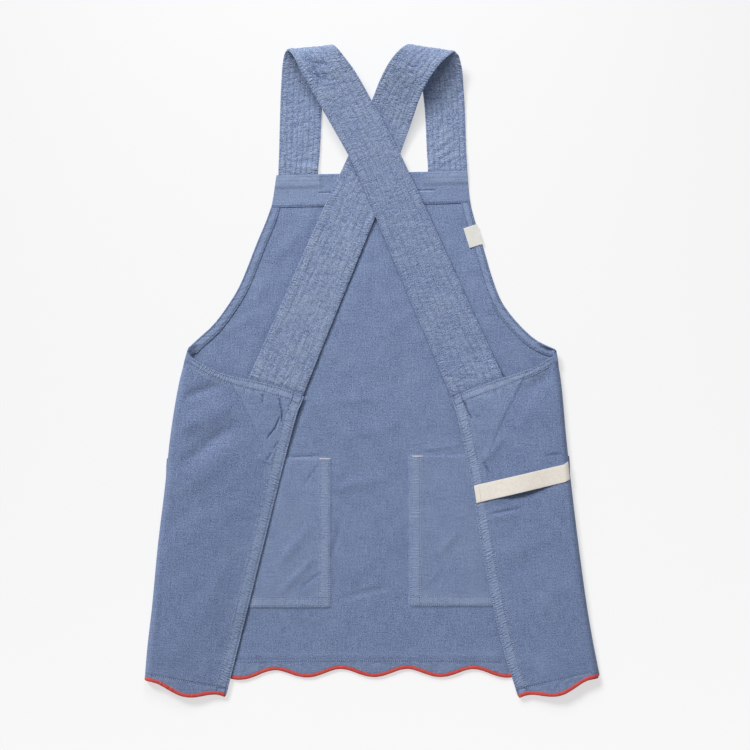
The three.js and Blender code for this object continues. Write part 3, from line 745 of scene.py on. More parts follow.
def woven(name, deep, mid, pale, thread_mm, slub_mm, turn_deg=0, relief_mm=0.3, rough=0.9):
    """A woven cloth: uneven threads both ways, cloudy dye, paler for wear and painted highlights, deeper
    for painted shade.
    """
    made, tree = empty_material(name)

    def noise(place, scale, detail, roughness):
        inputs = {"Vector": place, "Scale": scale, "Detail": detail, "Roughness": roughness}
        return node(tree, "ShaderNodeTexNoise", inputs)[0]

    def maths(operation, *values):
        return node(tree, "ShaderNodeMath", dict(enumerate(values)), operation=operation)[0]

    def blend(share, low, high):
        return node(tree, "ShaderNodeMix", {0: share, 6: low, 7: high}, data_type="RGBA")[2]

    cut = node(tree, "ShaderNodeAttribute", attribute_name="cut")["Vector"]
    worn_and_shaded = node(tree, "ShaderNodeAttribute", attribute_name="wear_and_shading")["Fac"]
    turn = (0, 0, math.radians(turn_deg))
    turned = node(tree, "ShaderNodeMapping", {"Vector": cut, "Rotation": turn})[0]
    streak = SLUB_WIDE_MM, SLUB_LONG_MM
    yarns = []
    for across, along in ((thread_mm, slub_mm), (slub_mm, thread_mm), streak, streak[::-1]):
        scale = (1 / (across * MM), 1 / (along * MM), 1)
        stretched = node(tree, "ShaderNodeMapping", {"Vector": turned, "Scale": scale})[0]
        yarns.append(noise(stretched, 1.0, 2.0, 0.62))
    both = maths("ADD", yarns[0], yarns[1])
    total = maths("ADD", noise(cut, 1 / (LUMP_MM * MM), 1.0, 0.5), both)
    for slubs in yarns[2:]:
        total = maths("MULTIPLY_ADD", slubs, SLUB_SHARE, total)
    limits = {"Value": total, "From Min": GRAIN_LOW, "From Max": GRAIN_HIGH}
    grain = node(tree, "ShaderNodeMapRange", limits)[0]
    cloud = maths("ADD", noise(cut, 1 / (CLOUD_MM * MM), 3.0, 0.6), -0.5)
    fade_and_highlight = maths("MULTIPLY_ADD", cloud, CLOUD_SHARE, worn_and_shaded)
    # Rubbing takes the dye off the threads that stand proud first, and the painted highlights follow the
    # same threads.
    rubbed_and_highlight = maths("MULTIPLY", fade_and_highlight, maths("ADD", grain, 0.5))
    dyed = blend(grain, linear(deep), linear(mid))
    faded_and_highlit = blend(rubbed_and_highlight, dyed, linear(pale))
    # Values below zero blend to the deep tone: painted shade of seams, creases and hollows, partly dye
    # kept in the seams.
    colour = blend(maths("MULTIPLY", worn_and_shaded, -1.0), faded_and_highlit, linear(SHADE_AND_KEPT_DYE))
    relief = {"Height": both, "Strength": 0.5, "Distance": relief_mm * MM}
    surface = {
        "Base Color": colour,
        "Roughness": rough,
        "IOR": 1.5,
        "Specular IOR Level": 0.25,
        "Sheen Weight": SHEEN,
        "Sheen Roughness": 0.6,
        "Normal": node(tree, "ShaderNodeBump", relief)[0],
    }
    shader = node(tree, "ShaderNodeBsdfPrincipled", surface)[0]
    node(tree, "ShaderNodeOutputMaterial", {"Surface": shader})
    return made


# %% The finishes of this smock
# Each has a deep, a middle and a pale tone, the width of its threads and the length of their slubs
# in mm, the turn of the weave in degrees, its relief in mm and its roughness.
# Washed plain weave: matte, with heathered yarns and pale wear along every ridge and seam, plus the
# painted highlights and shade that each vertex carries.
washed_cloth = woven("washed_plain_weave", "#465980", "#95a6cb", "#97a8c7", 0.7, 2.0)
# The same cloth quilted: shrunk rows rub on everything, so it is paler and rougher to the eye.
quilted_cloth = woven("quilted_plain_weave", "#3d5078", "#9eafd2", "#a4b2cb", 0.75, 2.2, relief_mm=0.4)
# Bias-cut cotton: fine threads at 45 degrees, strong colour, a little lustre from pressing.
bias_binding = woven("bias_cut_cotton", "#c23a36", "#d8504a", "#e07a70", 0.9, 5, 45, 0.2, 0.8)
# Twill tape in undyed cotton: slanting ribs and a warm off-white.
twill_tape = woven("undyed_twill_tape", "#eae2d6", "#f9f2e8", "#fcf7ef", 0.9, 7, 35, 0.25, 0.85)
# Satin-woven label, undyed: smoother and cooler than the tape.
satin_label = woven("satin_woven_label", "#dddbd5", "#e8e6e1", "#efeeea", 0.7, 4, 0, 0.15, 0.7)
# Spun thread: brighter than the cloth, because it takes less dye.
spun_thread = woven("spun_blue_thread", "#bfcbe0", "#d5deec", "#e3e9f3", 0.6, 2, 30, 0.1, 0.75)
# The same thread on the quilting, the facings and the patches, rubbed to the tone of the cloth.
rubbed_thread = woven("rubbed_blue_thread", "#8092b8", "#9aaccf", "#adbcd8", 0.6, 2, 30, 0.1, 0.75)
# Undyed thread of the bar tacks and the tape: a clean, pale line.
pale_thread = woven("spun_pale_thread", "#d9d6d6", "#ecebec", "#f4f4f4", 0.6, 2, 30, 0.1, 0.75)
print("Finishes:", [material.name for material in bpy.data.materials if material.node_tree])

# %% [markdown]
# ## Making cloth from a grid
# A sheet of points becomes cloth when it gets two faces and a rim. Blender's Solidify modifier would do
# that too, but here each face can have its own puff, and the side that lies hidden can have fewer
# faces. The rim is thinner than the cloth behind it, as a pressed edge is.

# %% Mesh with a finish
RIM_THIN = 0.6
SHARP = math.radians(17)


def sheet_normals(grid):
    down, across = np.gradient(grid, axis=(0, 1))
    return unit(np.cross(down, across))


def placed(name, data):
    made = bpy.data.objects.new(name, data)
    bpy.context.scene.collection.objects.link(made)
    return made


def finished_mesh(name, points, faces, finish, cut, wear_and_shading):
    """An object of points in mm, with where each lies on the cut cloth and its value for wear and painted
    shading.
    """
    mesh = bpy.data.meshes.new(name)
    mesh.from_pydata((points * MM).tolist(), [], faces)
    mesh.shade_smooth()
    mesh.set_sharp_from_angle(angle=SHARP)
    flat = np.zeros((len(points), 3), np.float32)
    flat[:, :2] = cut * MM
    mesh.attributes.new("cut", "FLOAT_VECTOR", "POINT").data.foreach_set("vector", flat.ravel())
    worn_and_shaded = np.broadcast_to(np.asarray(wear_and_shading, np.float32), len(points))
    mesh.attributes.new("wear_and_shading", "FLOAT", "POINT").data.foreach_set("value", worn_and_shaded.copy())
    mesh.materials.append(finish)
    return placed(name, mesh)


# %% Grid to closed cloth
def rim_faces(shape, rows, columns, low):
    """Faces between the upper face's border and the coarser lower face's border."""
    last_row, last_column = shape[0] - 1, shape[1] - 1
    border = [(r, 0) for r in range(last_row + 1)]
    border += [(last_row, c) for c in range(1, last_column + 1)]
    border += [(r, last_column) for r in range(last_row - 1, -1, -1)]
    border += [(0, c) for c in range(last_column - 1, -1, -1)]
    under = {(r, c): low[i, j] for i, r in enumerate(rows) for j, c in enumerate(columns)}
    faces, run = [], [border[0]]
    for place in border[1:]:
        run.append(place)
        if place in under:
            upper = [r * shape[1] + c for r, c in reversed(run)]
            faces.append([*upper, int(under[run[0]]), int(under[place])])
            run = [place]
    return faces


def sewn(piece, slot, *nodes):
    """The piece rides on the part and stands for its CAD solids, which are hidden; slot is not used."""
    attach(piece, "root")
    if nodes:
        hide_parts(*nodes)
    return piece


def cloth(
    solid, grid, thickness, finish, wear_and_shading, cut=None,
    puffs=(0.0, 0.0), coarse=2, slot="washed_cloth", kind="cloth",
):
    """A closed cloth wall around a middle surface of points, in the place of a CAD solid."""
    shape = grid.shape[:2]
    cut = grid[..., :2] if cut is None else cut
    normal = sheet_normals(grid)
    faces_at = []
    for turn, puff in zip((1, -1), puffs):
        half = np.zeros(shape) + np.asarray(thickness) / 2 + puff
        half[[0, -1]] *= RIM_THIN
        half[:, [0, -1]] *= RIM_THIN
        faces_at.append(grid + turn * normal * half[..., None])
    rows, columns = [np.unique(np.r_[0:count:coarse, count - 1]) for count in shape]
    keep = np.ix_(rows, columns)
    upper = np.arange(shape[0] * shape[1]).reshape(shape)
    low = upper.size + np.arange(len(rows) * len(columns)).reshape(len(rows), len(columns))
    faces = []
    for index, turn in ((upper, 1), (low, -1)):
        quads = np.stack([index[:-1, :-1], index[1:, :-1], index[1:, 1:], index[:-1, 1:]], axis=-1)
        faces += quads.reshape(-1, 4)[:, ::turn].tolist()
    faces += rim_faces(shape, rows, columns, low)

    def two_faces(over, below):
        values = [field.reshape(-1, *field.shape[2:]) for field in (over, below[keep])]
        return np.concatenate(values)

    worn_and_shaded = np.broadcast_to(np.asarray(wear_and_shading, float), shape)
    fields = two_faces(cut, cut), two_faces(worn_and_shaded, worn_and_shaded)
    made = finished_mesh(f"{solid}_{kind}", two_faces(*faces_at), faces, finish, *fields)
    print(made.name, "faces:", len(faces))
    return sewn(made, slot, solid)


# %% [markdown]
# ## Stitches
# A lockstitch is a short length of thread that dives into the cloth at both ends. Thousands of them
# are needed, so each is only a slim double pyramid of eight triangles, laid along its row, and all the
# stitches of a piece are joined in one mesh.

# %% Rows of stitches
STITCH_PITCH, STITCH_LENGTH, THREAD_WIDE, THREAD_HIGH = 2.9, 1.7, 1.25, 0.45
PROUD, DIVE, THREAD_WEAR = 0.55, 0.3, 0.2
UP = np.array([0.0, 0.0, 1.0])
STITCH_FACES = np.array(
    [(1, 2, 4), (2, 0, 4), (0, 3, 4), (3, 1, 4), (2, 1, 5), (0, 2, 5), (3, 0, 5), (1, 3, 5)]
)


def stitch_row(path, normals=None, pitch=STITCH_PITCH, length=STITCH_LENGTH):
    """Corners of the stitches along a path of points: (stitches, 6, 3)."""
    normals = np.broadcast_to(UP, path.shape) if normals is None else normals
    along = run_along(path)
    places = np.arange(pitch / 2, along[-1], pitch)

    def at(where, field):
        return np.stack([np.interp(where, along, field[:, k]) for k in range(3)], axis=1)

    middle, normal = at(places, path), unit(at(places, normals))
    ahead = unit(at(places + length / 2, path) - at(places - length / 2, path))
    aside = np.cross(normal, ahead)
    dive = normal * (PROUD + DIVE)
    corners = [
        middle - ahead * length / 2 - dive,
        middle + ahead * length / 2 - dive,
        middle + aside * THREAD_WIDE / 2,
        middle - aside * THREAD_WIDE / 2,
        middle + normal * THREAD_HIGH,
        middle - normal * THREAD_HIGH,
    ]
    return np.stack(corners, axis=1)


def stitches(name, rows, thread=spun_thread):
    """One mesh of all the stitches in the rows."""
    corners = np.concatenate(rows)
    first = 6 * np.arange(len(corners))[:, None, None]
    faces = (STITCH_FACES[None] + first).reshape(-1, 3).tolist()
    points = corners.reshape(-1, 3)
    made = finished_mesh(name, points, faces, thread, points[:, :2], THREAD_WEAR)
    made.data.shade_flat()
    print(name, "stitches:", len(corners))
    return sewn(made, "washed_cloth")


# %% [markdown]
# ## Front panel and pockets
# The grid is closest over the pocket seams, where the puckers are small, and widest on the plain
# cloth. Its last rows run from a straight line to the scalloped hem. The pockets lie underneath, and
# only their outer sides show, as a sliver beyond the folds. An even grid would be simpler, but it would
# need several times as many faces for the same puckers.

# %% Front panel
SKIRT_END, TILT_FROM, HEM_TUCK = -380, 48, 1.2
# Rows down the panel: bib, foot of the armholes, plain cloth, pockets, and on towards the hem.
ROWS_AT = np.r_[
    np.linspace(BIB_TOP, 46, 68),
    np.arange(44, 4, -1.6),
    np.linspace(2, -104, 32),
    np.arange(-106, -338, -1.4),
    np.linspace(-341, SKIRT_END, 13),
]
HEM_ROWS = 18
# Columns out from the centre line: in mm to past the pocket's inner band, then as shares of the rest.
NEAR = np.r_[np.arange(0, 45, 3), np.arange(45, 81, 1.5)]
FAR = np.r_[np.linspace(0, 0.5, 58)[1:], np.linspace(0.5, 1, 24)[1:]]


def front_across(y):
    """Places across the front panel on rows at these heights: (rows, columns)."""
    sides = []
    for side in ("left", "right"):
        far = NEAR[-1] + FAR * (front_edge(side, y)[:, None] - NEAR[-1])
        near = np.broadcast_to(NEAR, (len(y), len(NEAR)))
        sides.append(np.concatenate([near, far], axis=1))
    return np.concatenate([-sides[0][:, :0:-1], sides[1]], axis=1)


def front_grid():
    x = front_across(ROWS_AT)
    tilt = BIB_TILT * np.clip((ROWS_AT - TILT_FROM) / (BIB_TOP - TILT_FROM), 0, 1)
    skirt = joined(x, ROWS_AT[:, None] + tilt[:, None] * x)
    share = np.linspace(0, 1, HEM_ROWS)[1:, None]
    hem_x = front_across(np.clip(mix(SKIRT_END, HEM_Y, share[:, 0]), HEM_Y, None))
    hem_y = mix(SKIRT_END, front_hem(hem_x) - HEM_TUCK, share)
    plan = np.concatenate([skirt, joined(hem_x, hem_y)])
    x, y = plan_of(plan)
    return joined(x, y, front_height(x, y))


front = front_grid()
front_wear_and_shading = front_details(*plan_of(front))[1]
front_panel = cloth("front_panel", front, CLOTH, washed_cloth, front_wear_and_shading, coarse=3)

# %% Pockets
POCKET_PROUD, POCKET_SHORT, POCKET_TUCK, POCKET_POINTS = 1.4, -0.4, 40, 61
EVEN_WEAR = 0.15
for side, pocket in POCKETS.items():
    y = np.linspace(pocket["top"], pocket["bottom"], POCKET_POINTS)
    share = np.linspace(0, 1, POCKET_POINTS)
    proud = mix(POCKET_PROUD, POCKET_SHORT, ease((pocket["top"] - y) / POCKET_TUCK))
    x = SIGN[side] * mix(pocket["inner"], (front_edge(side, y) + proud)[:, None], share)
    grid = joined(x if side == "right" else x[:, ::-1], y[:, None], POCKET / 2)
    cloth(f"{side}_pocket", grid, POCKET, washed_cloth, EVEN_WEAR)

# %% [markdown]
# ## Facings
# A facing is a strip of the same cloth that finishes an edge from the inside. The bib's is a straight
# band that also covers the straps' sewn-in ends. The armholes' are cut on the bias so that they bend
# round the curve, and bias strips pucker in slanting ribs once they are sewn and washed. They could be
# drawn on the panel as another tone, but a strip of its own has an edge that catches the light.

# %% Bib facing
FACING_LEVEL, FACING_ROW = CLOTH / 2 + GAP + FACING / 2, 2.4
STRAP_INNER, STRAP_DEEP, STRAP_RAMP = 74, 14, 7
SLIT_DOWN, SLIT_LEFT, SLIT_RIGHT = 26, -74, 88


def bib_facing_point(part, down):
    """A point of the bib's facing, by the share across and the distance from the bib's top."""
    y = BIB_TOP - down
    half = nearest(armhole, part, y) - 0.5
    x = part * half
    y = y + BIB_TILT * x - 0.2
    on_strap = ease(1 - (STRAP_INNER - np.abs(x)) / STRAP_RAMP)
    over = STRAP_PRESSED + 0.3 + 0.6 * groove(down, 4)
    bump = over * on_strap * ease(1 - (down - STRAP_DEEP) / STRAP_RAMP)
    ridge = on_strap * (0.25 * groove(down - 6, 2.6) - 0.25 * groove(down - 9.8, 1.2))
    slit = groove(down - SLIT_DOWN, 1.1) * (x > SLIT_LEFT) * (x < SLIT_RIGHT)
    hem = BIB_FACING_DEPTH - down
    lip = 0.3 * groove(hem - 1.5, 2.5) - 0.3 * groove(hem - 4.4, 1.2)
    near_rows = np.maximum(groove(down - 5, 6), 0.6 * groove(hem - 3, 4))
    puckers = 0.5 * billow(x / 6, down / 8, 71) * near_rows
    pulled = 0.3 * ease(1 - hem / 5)
    z = front_height(x, y) + FACING_LEVEL + bump + ridge + puckers + lip - pulled - 1.2 * slit
    return joined(x, y, z)


bib_down = np.linspace(0, BIB_FACING_DEPTH, 51)[:, None]
bib_part = np.linspace(-1, 1, 201)[None]
bib = bib_facing_point(bib_part, bib_down)
# Lighter towards the left. There is painted light over the straps' sewn-in ends against the shade of their
# bump, and the row along the lower edge gets painted shade, partly dye kept in the seam.
bib_wear_and_shading = 0.3 - 0.1 * bib_part + 0.45 * groove(bib_down - 7, 9) * (np.abs(bib[..., 0]) > STRAP_INNER)
bib_wear_and_shading = mix(bib_wear_and_shading, SEAM_SHADE_AND_DYE, groove(BIB_FACING_DEPTH - bib_down - FACING_ROW))
bib_facing = cloth("bib_facing", bib, FACING, washed_cloth, bib_wear_and_shading)

# %% Armhole facings
BIAS_RIB = 4.2


def armhole_line(side):
    """The armhole edge from the bib facing to the side fold, with its inward direction."""
    top = BIB_TOP - BIB_FACING_DEPTH + SIGN[side] * BIB_TILT * BIB_HALF - 0.5
    y = np.linspace(top, ARMHOLE_END - 9, 201)
    tuck = 2.5 * ease((ARMHOLE_END + 2 - y) / 5)
    edge = joined(SIGN[side] * (front_edge(side, y) - 0.5 - tuck), y)
    along = np.gradient(edge, axis=0)
    inward = unit(SIGN[side] * joined(along[:, 1], -along[:, 0]))
    foot = np.argmin(np.abs(y - ARMHOLE_END - 3))
    inward[foot:] = inward[foot]
    start = ease((top - y) / 18)[:, None]
    inward = mix(np.array([[-SIGN[side], 0.0]]), inward, start)
    return edge, inward


def armhole_facing_points(side, inset):
    edge, inward = armhole_line(side)
    narrow = 1 - 0.6 * ease((ARMHOLE_END + 6 - edge[:, 1]) / 13)
    plan = edge[:, None] + inward[:, None] * (inset * narrow[:, None])[..., None]
    length = run_along(edge)[:, None]
    ribs = 0.55 * billow((length + 1.3 * inset) / BIAS_RIB, inset / 16, 81 + SIGN[side])
    x, y = plan_of(plan)
    dents = 0.4 * two_rows(inset, ARMHOLE_FACING_WIDTH)
    return joined(x, y, front_height(x, y) + FACING_LEVEL + 0.2 + ribs - dents)


for side in SIGN:
    inset = np.linspace(0, ARMHOLE_FACING_WIDTH, 15)
    grid = armhole_facing_points(side, inset)
    grid = grid if side == "left" else grid[:, ::-1]
    # Paler for wear, and darker towards the facing's end at the fold: painted shade of the hollow there.
    # The rows get painted shade, partly dye kept in the seams.
    wear_and_shading = 0.45 - ease((ARMHOLE_END - 1 - grid[..., 1]) / 9)
    wear_and_shading = mix(wear_and_shading, SEAM_SHADE_AND_DYE, two_rows(inset, ARMHOLE_FACING_WIDTH))
    cloth(f"{side}_armhole_facing", grid, FACING, washed_cloth, wear_and_shading, coarse=1)

# %% Hem facing
HEM_INSET, HEM_ROW = 6, 2
hem_ends = [front_edge(side, np.array(HEM_Y)) - HEM_INSET for side in SIGN]
hem_x = np.linspace(-hem_ends[0], hem_ends[1], 301)
hem_droop = 0.3 * by_side(hem_x, FRONT_DROOP["left"][0], FRONT_DROOP["right"][0]) * (hem_x / HEM_HALF) ** 2
hem_top = HEM_FACING_TOP - hem_droop
hem_share = np.linspace(0, 1, 17)[:, None]
hem_y = mix(hem_top, front_hem(hem_x) - HEM_TUCK / 2, hem_share)
hem_z = front_height(hem_x, hem_y) + FACING_LEVEL + 0.5 * billow(hem_x / 5, hem_y / 9, 91)
# The row below the facing's top edge gets painted shade of its groove, partly dye kept in the seam.
hem_wear_and_shading = mix(0.2, SEAM_SHADE_AND_DYE, groove(hem_top - HEM_ROW - hem_y))
hem_facing = cloth("hem_facing", joined(hem_x, hem_y, hem_z), FACING, washed_cloth, hem_wear_and_shading)

# %% [markdown]
# ## Back panels and corner patches
# The grid runs from the seam, round the bend, to the free edge, and is closest along the turned-in
# bands. A Shrinkwrap modifier could lay the patches under the panels. Making them from the panel's own
# height keeps the gap between the two the same everywhere.

# %% Back panels
BACK_CLOTH = BEND_CLOTH + BACK_FLAT
PLACKET_FROM = BEND_CLOTH + 0.86 * BACK_FLAT
bend_steps = np.linspace(0, BEND_CLOTH, 11)[:-1]
panel_steps = np.linspace(BEND_CLOTH, PLACKET_FROM, 86)[:-1]
placket_steps = np.linspace(PLACKET_FROM, BACK_CLOTH, 22)
back_columns = np.r_[bend_steps, panel_steps, placket_steps][None]
back_rows = np.r_[np.linspace(0, 0.05, 21)[:-1], np.linspace(0.05, 1, 351)][:, None]
for side in SIGN:
    grid = back_sheet(side, back_columns, back_rows, HEM_TUCK)
    x, y = plan_of(grid)
    wear_and_shading = 0.02 + back_details(side, x, y)[1] * (back_columns > BEND_CLOTH)
    cut = joined(back_columns, y)
    if side == "right":
        grid, cut, wear_and_shading = grid[:, ::-1], cut[:, ::-1], wear_and_shading[:, ::-1]
    cloth(f"{side}_back_panel", grid, CLOTH, washed_cloth, wear_and_shading, cut)

# %% Corner patches
PATCH_BELOW, PATCH = 17, 0.7
for side in SIGN:
    line = PATCHES[side]
    down = np.linspace(0, 1, 41)[:, None]
    part = np.linspace(0, 1, 31)[None]
    outer_x = mix(line["x"][0], line["x"][-1], down)
    outer_y = mix(line["y"][0] - PATCH_BELOW, line["y"][-1], down)
    top = read(BACK_TOP, side, 0.97) - PATCH_BELOW
    inner_y = mix(top, line["y"][-1] - 4, down)
    inner_x = SIGN[side] * (free_edge(side, inner_y) + 2)
    x, y = mix(outer_x, inner_x, part), mix(outer_y, inner_y, part)
    z = back_height(side, x, y) - (CLOTH / 2 + GAP + PATCH / 2)
    grid = joined(x, y, z)
    grid = grid if side == "left" else grid[:, ::-1]
    cloth(f"{side}_corner_patch", grid, PATCH, washed_cloth, EVEN_WEAR)

# %% [markdown]
# ## Straps
# Both faces of a strap show: the inner face below the roll and the outer face above it. So both are
# made equally fine, and the puff of the quilting is added to each. Bump in the material could puff them
# for less, but then the stitches would have no dents to lie in.

# %% Straps
STRAP_GRID = 681, 64
# The left strap is darker along its lower half.
LOWER_HALF_TONE = {"left": -0.12, "right": 0.0}
straps, strap_sheets = {}, {}
for side, strap in STRAPS.items():
    along = np.linspace(0, strap["along"][-1], STRAP_GRID[0])[:, None]
    part = np.linspace(0.5, -0.5, STRAP_GRID[1])[None]
    base = strap_band(side, along, part)
    crinkle, puff, shade = quilting(side, along, part, base)
    face = sheet_normals(base)
    upward = np.clip(3 * face[..., 2], -1, 1)
    grid = base + face * (upward * crinkle)[..., None]
    showing = 0.3 + 0.7 * ease(0.5 + 2 * upward)
    hidden = 0.3 + 0.7 * ease(0.5 - 2 * upward)
    span = read(strap, "span", along)
    cut = joined(part * span, along)
    lower = ease((along / strap["along"][-1] - 0.5) / 0.2)
    # Paler on the puffs and crinkle for wear, less the painted shade of the quilting's rows and valleys.
    wear_and_shading = 0.2 + LOWER_HALF_TONE[side] * lower + 0.3 * puff + 0.14 * crinkle - shade
    thick = mix(STRAP_WALL, STRAP_PRESSED, sewn_in(along))
    puffs = puff * showing, puff * hidden
    straps[side] = cloth(
        f"{side}_strap", grid, thick, quilted_cloth, wear_and_shading, cut, puffs, coarse=1, slot="quilted_cloth"
    )
    strap_sheets[side] = (grid, face, part[0])

# %% [markdown]
# ## Red binding, tape and label
# A bias strip folded over the raw hem makes an oval cord-like edge, one length round all three panels.
# A bevelled curve would do for it, but rings of points can also swell and close at the ends. The tape
# is sewn down at both ends and bows up between them, so that a towel can hang from it. The label is a
# blank folded piece at the armhole.

# %% The hem's path
BINDING_WIDTH, BINDING_THICK, BINDING_SIDES, BINDING_END = 5.4, 3.2, 14, 1.6
BINDING_INSET, BINDING_SEAT, BEND_START, TURN_IN, TURN_UP = 5.5, 1.05, 3.4, 1.6, 1.1


def hem_path():
    """The hem line round all three panels, left free edge to right free edge."""
    hems = {}
    for side in SIGN:
        bend = np.linspace(BEND_START, BEND_CLOTH, 12)[:-1]
        hem = back_sheet(side, np.r_[bend, np.linspace(BEND_CLOTH, BACK_CLOTH, 110)], 1.0)
        turn = back_sheet(side, np.zeros(1), 1.0) + np.array([[-TURN_IN * SIGN[side], 0, TURN_UP]])
        hems[side] = np.concatenate([turn, hem])
    reach = [front_edge(side, np.array(HEM_Y)) - BINDING_INSET for side in SIGN]
    x = np.linspace(-reach[0], reach[1], 420)
    front_part = joined(x, front_hem(x), front_height(x, front_hem(x)) + BINDING_SEAT)
    return np.concatenate([hems["left"][::-1], front_part, hems["right"]])


path = hem_path()
length = run_along(path)
print("Binding length:", round(length[-1]), "mm")

# %% Hem binding
ahead = unit(np.gradient(path, axis=0))
downward = unit(np.array([[0, -1.0, 0]]) + ahead * ahead[:, 1:2])
level = np.cross(ahead, downward)
tuft = 1 + 0.07 * drift(length / 4.5, 0.5, 95)
from_end = np.minimum(length, length[-1] - length)
end_round = np.sqrt(1 - np.clip(1 - from_end / BINDING_END, 0, 0.95) ** 2)
ring = np.linspace(0, 2 * np.pi, BINDING_SIDES, endpoint=False)
core = path + downward * (BINDING_WIDTH / 2 + 0.3)
wide = (BINDING_WIDTH / 2 * tuft * end_round)[:, None, None] * np.cos(ring)[None, :, None]
high = (BINDING_THICK / 2 * tuft * end_round)[:, None, None] * np.sin(ring)[None, :, None]
rings = core[:, None] + wide * downward[:, None] + high * level[:, None]
index = np.arange(len(path) * BINDING_SIDES).reshape(len(path), BINDING_SIDES)
beside = np.roll(index, -1, axis=1)
walls = np.stack([index[:-1], beside[:-1], beside[1:], index[1:]], axis=-1).reshape(-1, 4).tolist()
caps = [index[0, ::-1].tolist(), index[-1].tolist()]
binding_cut = joined(ring * BINDING_WIDTH / 2, length[:, None]).reshape(-1, 2)
binding_points = rings.reshape(-1, 3)
hem_binding = finished_mesh(
    "hem_binding_cloth", binding_points, walls + caps, bias_binding, binding_cut, EVEN_WEAR
)
sewn(hem_binding, "bias_binding", "hem_binding")
print("Binding faces:", len(walls + caps))

# %% Towel loop
LOOP = {"side": "right", "at_fold": -138.5, "at_edge": -172, "width": 25, "length": 145, "bow": 5.6}
LOOP_BENT, LOOP_START, LOOP_SEWN, BARE_WEAR = 0.12, 0.72, 0.955, 0.1
LOOP_INSET, BOW_FROM, BOW_OVER = 2.5, 0.2, 0.72


def loop_point(part, across, lift=0.0):
    """A point of the tape, from the seam to the free edge and across its width."""
    side = LOOP["side"]
    y = mix(LOOP["at_fold"], LOOP["at_edge"], part) - across * LOOP["width"] * EDGE_SLANT
    fold = fold_line(side, y)
    flat = fold - BEND_REACH
    turn = mix(LOOP_START, np.pi / 2, np.clip(part / LOOP_BENT, 0, 1))
    inward = np.clip((part - LOOP_BENT) / (1 - LOOP_BENT), 0, 1)
    x = flat + BEND_REACH * np.cos(turn) - inward * (flat - free_edge(side, y) - LOOP_INSET)
    crown = back_crown(side, x, y)
    foot = CLOTH + POCKET + 2 * GAP
    z = np.where(inward > 0, crown, mix(foot, crown, np.sin(turn)))
    level = CLOTH / 2 + GAP + TAPE / 2 + lift
    bow = LOOP["bow"] * np.sin(np.pi * np.clip((part - BOW_FROM) / BOW_OVER, 0, 1)) ** 2
    raised = level + bow + 0.55 * ease((inward - 0.8) / 0.1)
    return joined(x + np.cos(turn) * raised, y, z + np.sin(turn) * raised)


loop_part = np.linspace(0, 1, 121)[:, None]
loop_across = np.linspace(-0.5, 0.5, 17)[None]
loop_grid = loop_point(loop_part, loop_across)
loop_cut = joined(loop_across * LOOP["width"], loop_part * LOOP["length"])
tape_sewn = {"coarse": 1, "slot": "cotton_tape", "kind": "tape"}
towel_loop = cloth("towel_loop", loop_grid, TAPE, twill_tape, BARE_WEAR, loop_cut, **tape_sewn)

# %% Side label
TAG = {"x": 147, "y": 206, "wide": 20, "high": 29, "turn": 17.5}
tag_turn = math.radians(TAG["turn"])
tag_down = np.array([math.sin(tag_turn), -math.cos(tag_turn)])
tag_in = np.array([-math.cos(tag_turn), -math.sin(tag_turn)])
tag_along = np.linspace(0, TAG["high"], 33)[:, None]
tag_part = np.linspace(1, 0, 25)[None]
tag_x, tag_y = [
    TAG[axis] + tag_along * tag_down[k] + tag_part * TAG["wide"] * tag_in[k] for k, axis in enumerate("xy")
]
tag_rest = front_height(tag_x, tag_y) + CLOTH / 2 + LABEL / 2
tag_step = mix(FACING + 2 * GAP, GAP, ease((tag_part - 0.62) / 0.3))
tag_curl = 0.25 * drift(tag_along / 14, tag_part * 1.2, 99)
tag_grid = joined(tag_x, tag_y, tag_rest + tag_step + 0.35 + tag_curl)
tag_cut = joined(tag_part * TAG["wide"], tag_along)
tag_sewn = {"coarse": 1, "slot": "woven_label", "kind": "tag"}
side_label = cloth("side_label", tag_grid, LABEL * 0.8, satin_label, BARE_WEAR, tag_cut, **tag_sewn)

# %% [markdown]
# ## Sewing it up
# Now that every sheet has a formula, a row of stitches is a line across the sheet, lifted to its upper
# face. The rows on the straps run on both faces, as a lockstitch does. An Array modifier along a curve
# could lay them too, but it wouldn't dip with every pucker.

# %% Stitches of the front panel and its facings
ROW_POINTS = 200
ON_FACING = FACING / 2 + PROUD
STRAP_ROW, POCKET_LOW = 11.5, -320


def on_front(x, y, above=CLOTH / 2 + PROUD, **stitch):
    """A row of stitches along these places of the front panel."""
    return stitch_row(joined(x, y, front_height(x, y) + above), **stitch)


front_rows, facing_rows = [], []
for side, pocket in POCKETS.items():
    for inset in (ROW_INSET, BAND_WIDTH - ROW_INSET):
        y = np.linspace(pocket["top"] - 2, pocket["bottom"] + 2, ROW_POINTS)
        front_rows.append(on_front(SIGN[side] * (pocket["inner"] + inset), y))
    for inset in (ROW_INSET, BAND_LOW_WIDTH - ROW_INSET):
        x = SIGN[side] * np.linspace(pocket["inner"] + 2, front_edge(side, POCKET_LOW) - 12, ROW_POINTS)
        front_rows.append(on_front(x, pocket["bottom"] + inset))
front_rows.append(on_front(hem_x, hem_top - HEM_ROW, FACING_LEVEL + ON_FACING))
for down in (FACING_ROW, STRAP_ROW, BIB_FACING_DEPTH - FACING_ROW):
    part = np.linspace(-0.97, 0.97, 300)
    row = bib_facing_point(part, down) + UP * ON_FACING
    ends = np.abs(row[:, 0]) > STRAP_INNER
    runs = [row] if down != STRAP_ROW else [row[ends & (part < 0)], row[ends & (part > 0)]]
    facing_rows += [stitch_row(run) for run in runs]
for side in SIGN:
    for inset in (ROW_INSET, ARMHOLE_FACING_WIDTH - ROW_INSET):
        facing_rows.append(stitch_row(armhole_facing_points(side, inset)[:, 0] + UP * ON_FACING))
front_stitches = stitches("front_stitches", front_rows)
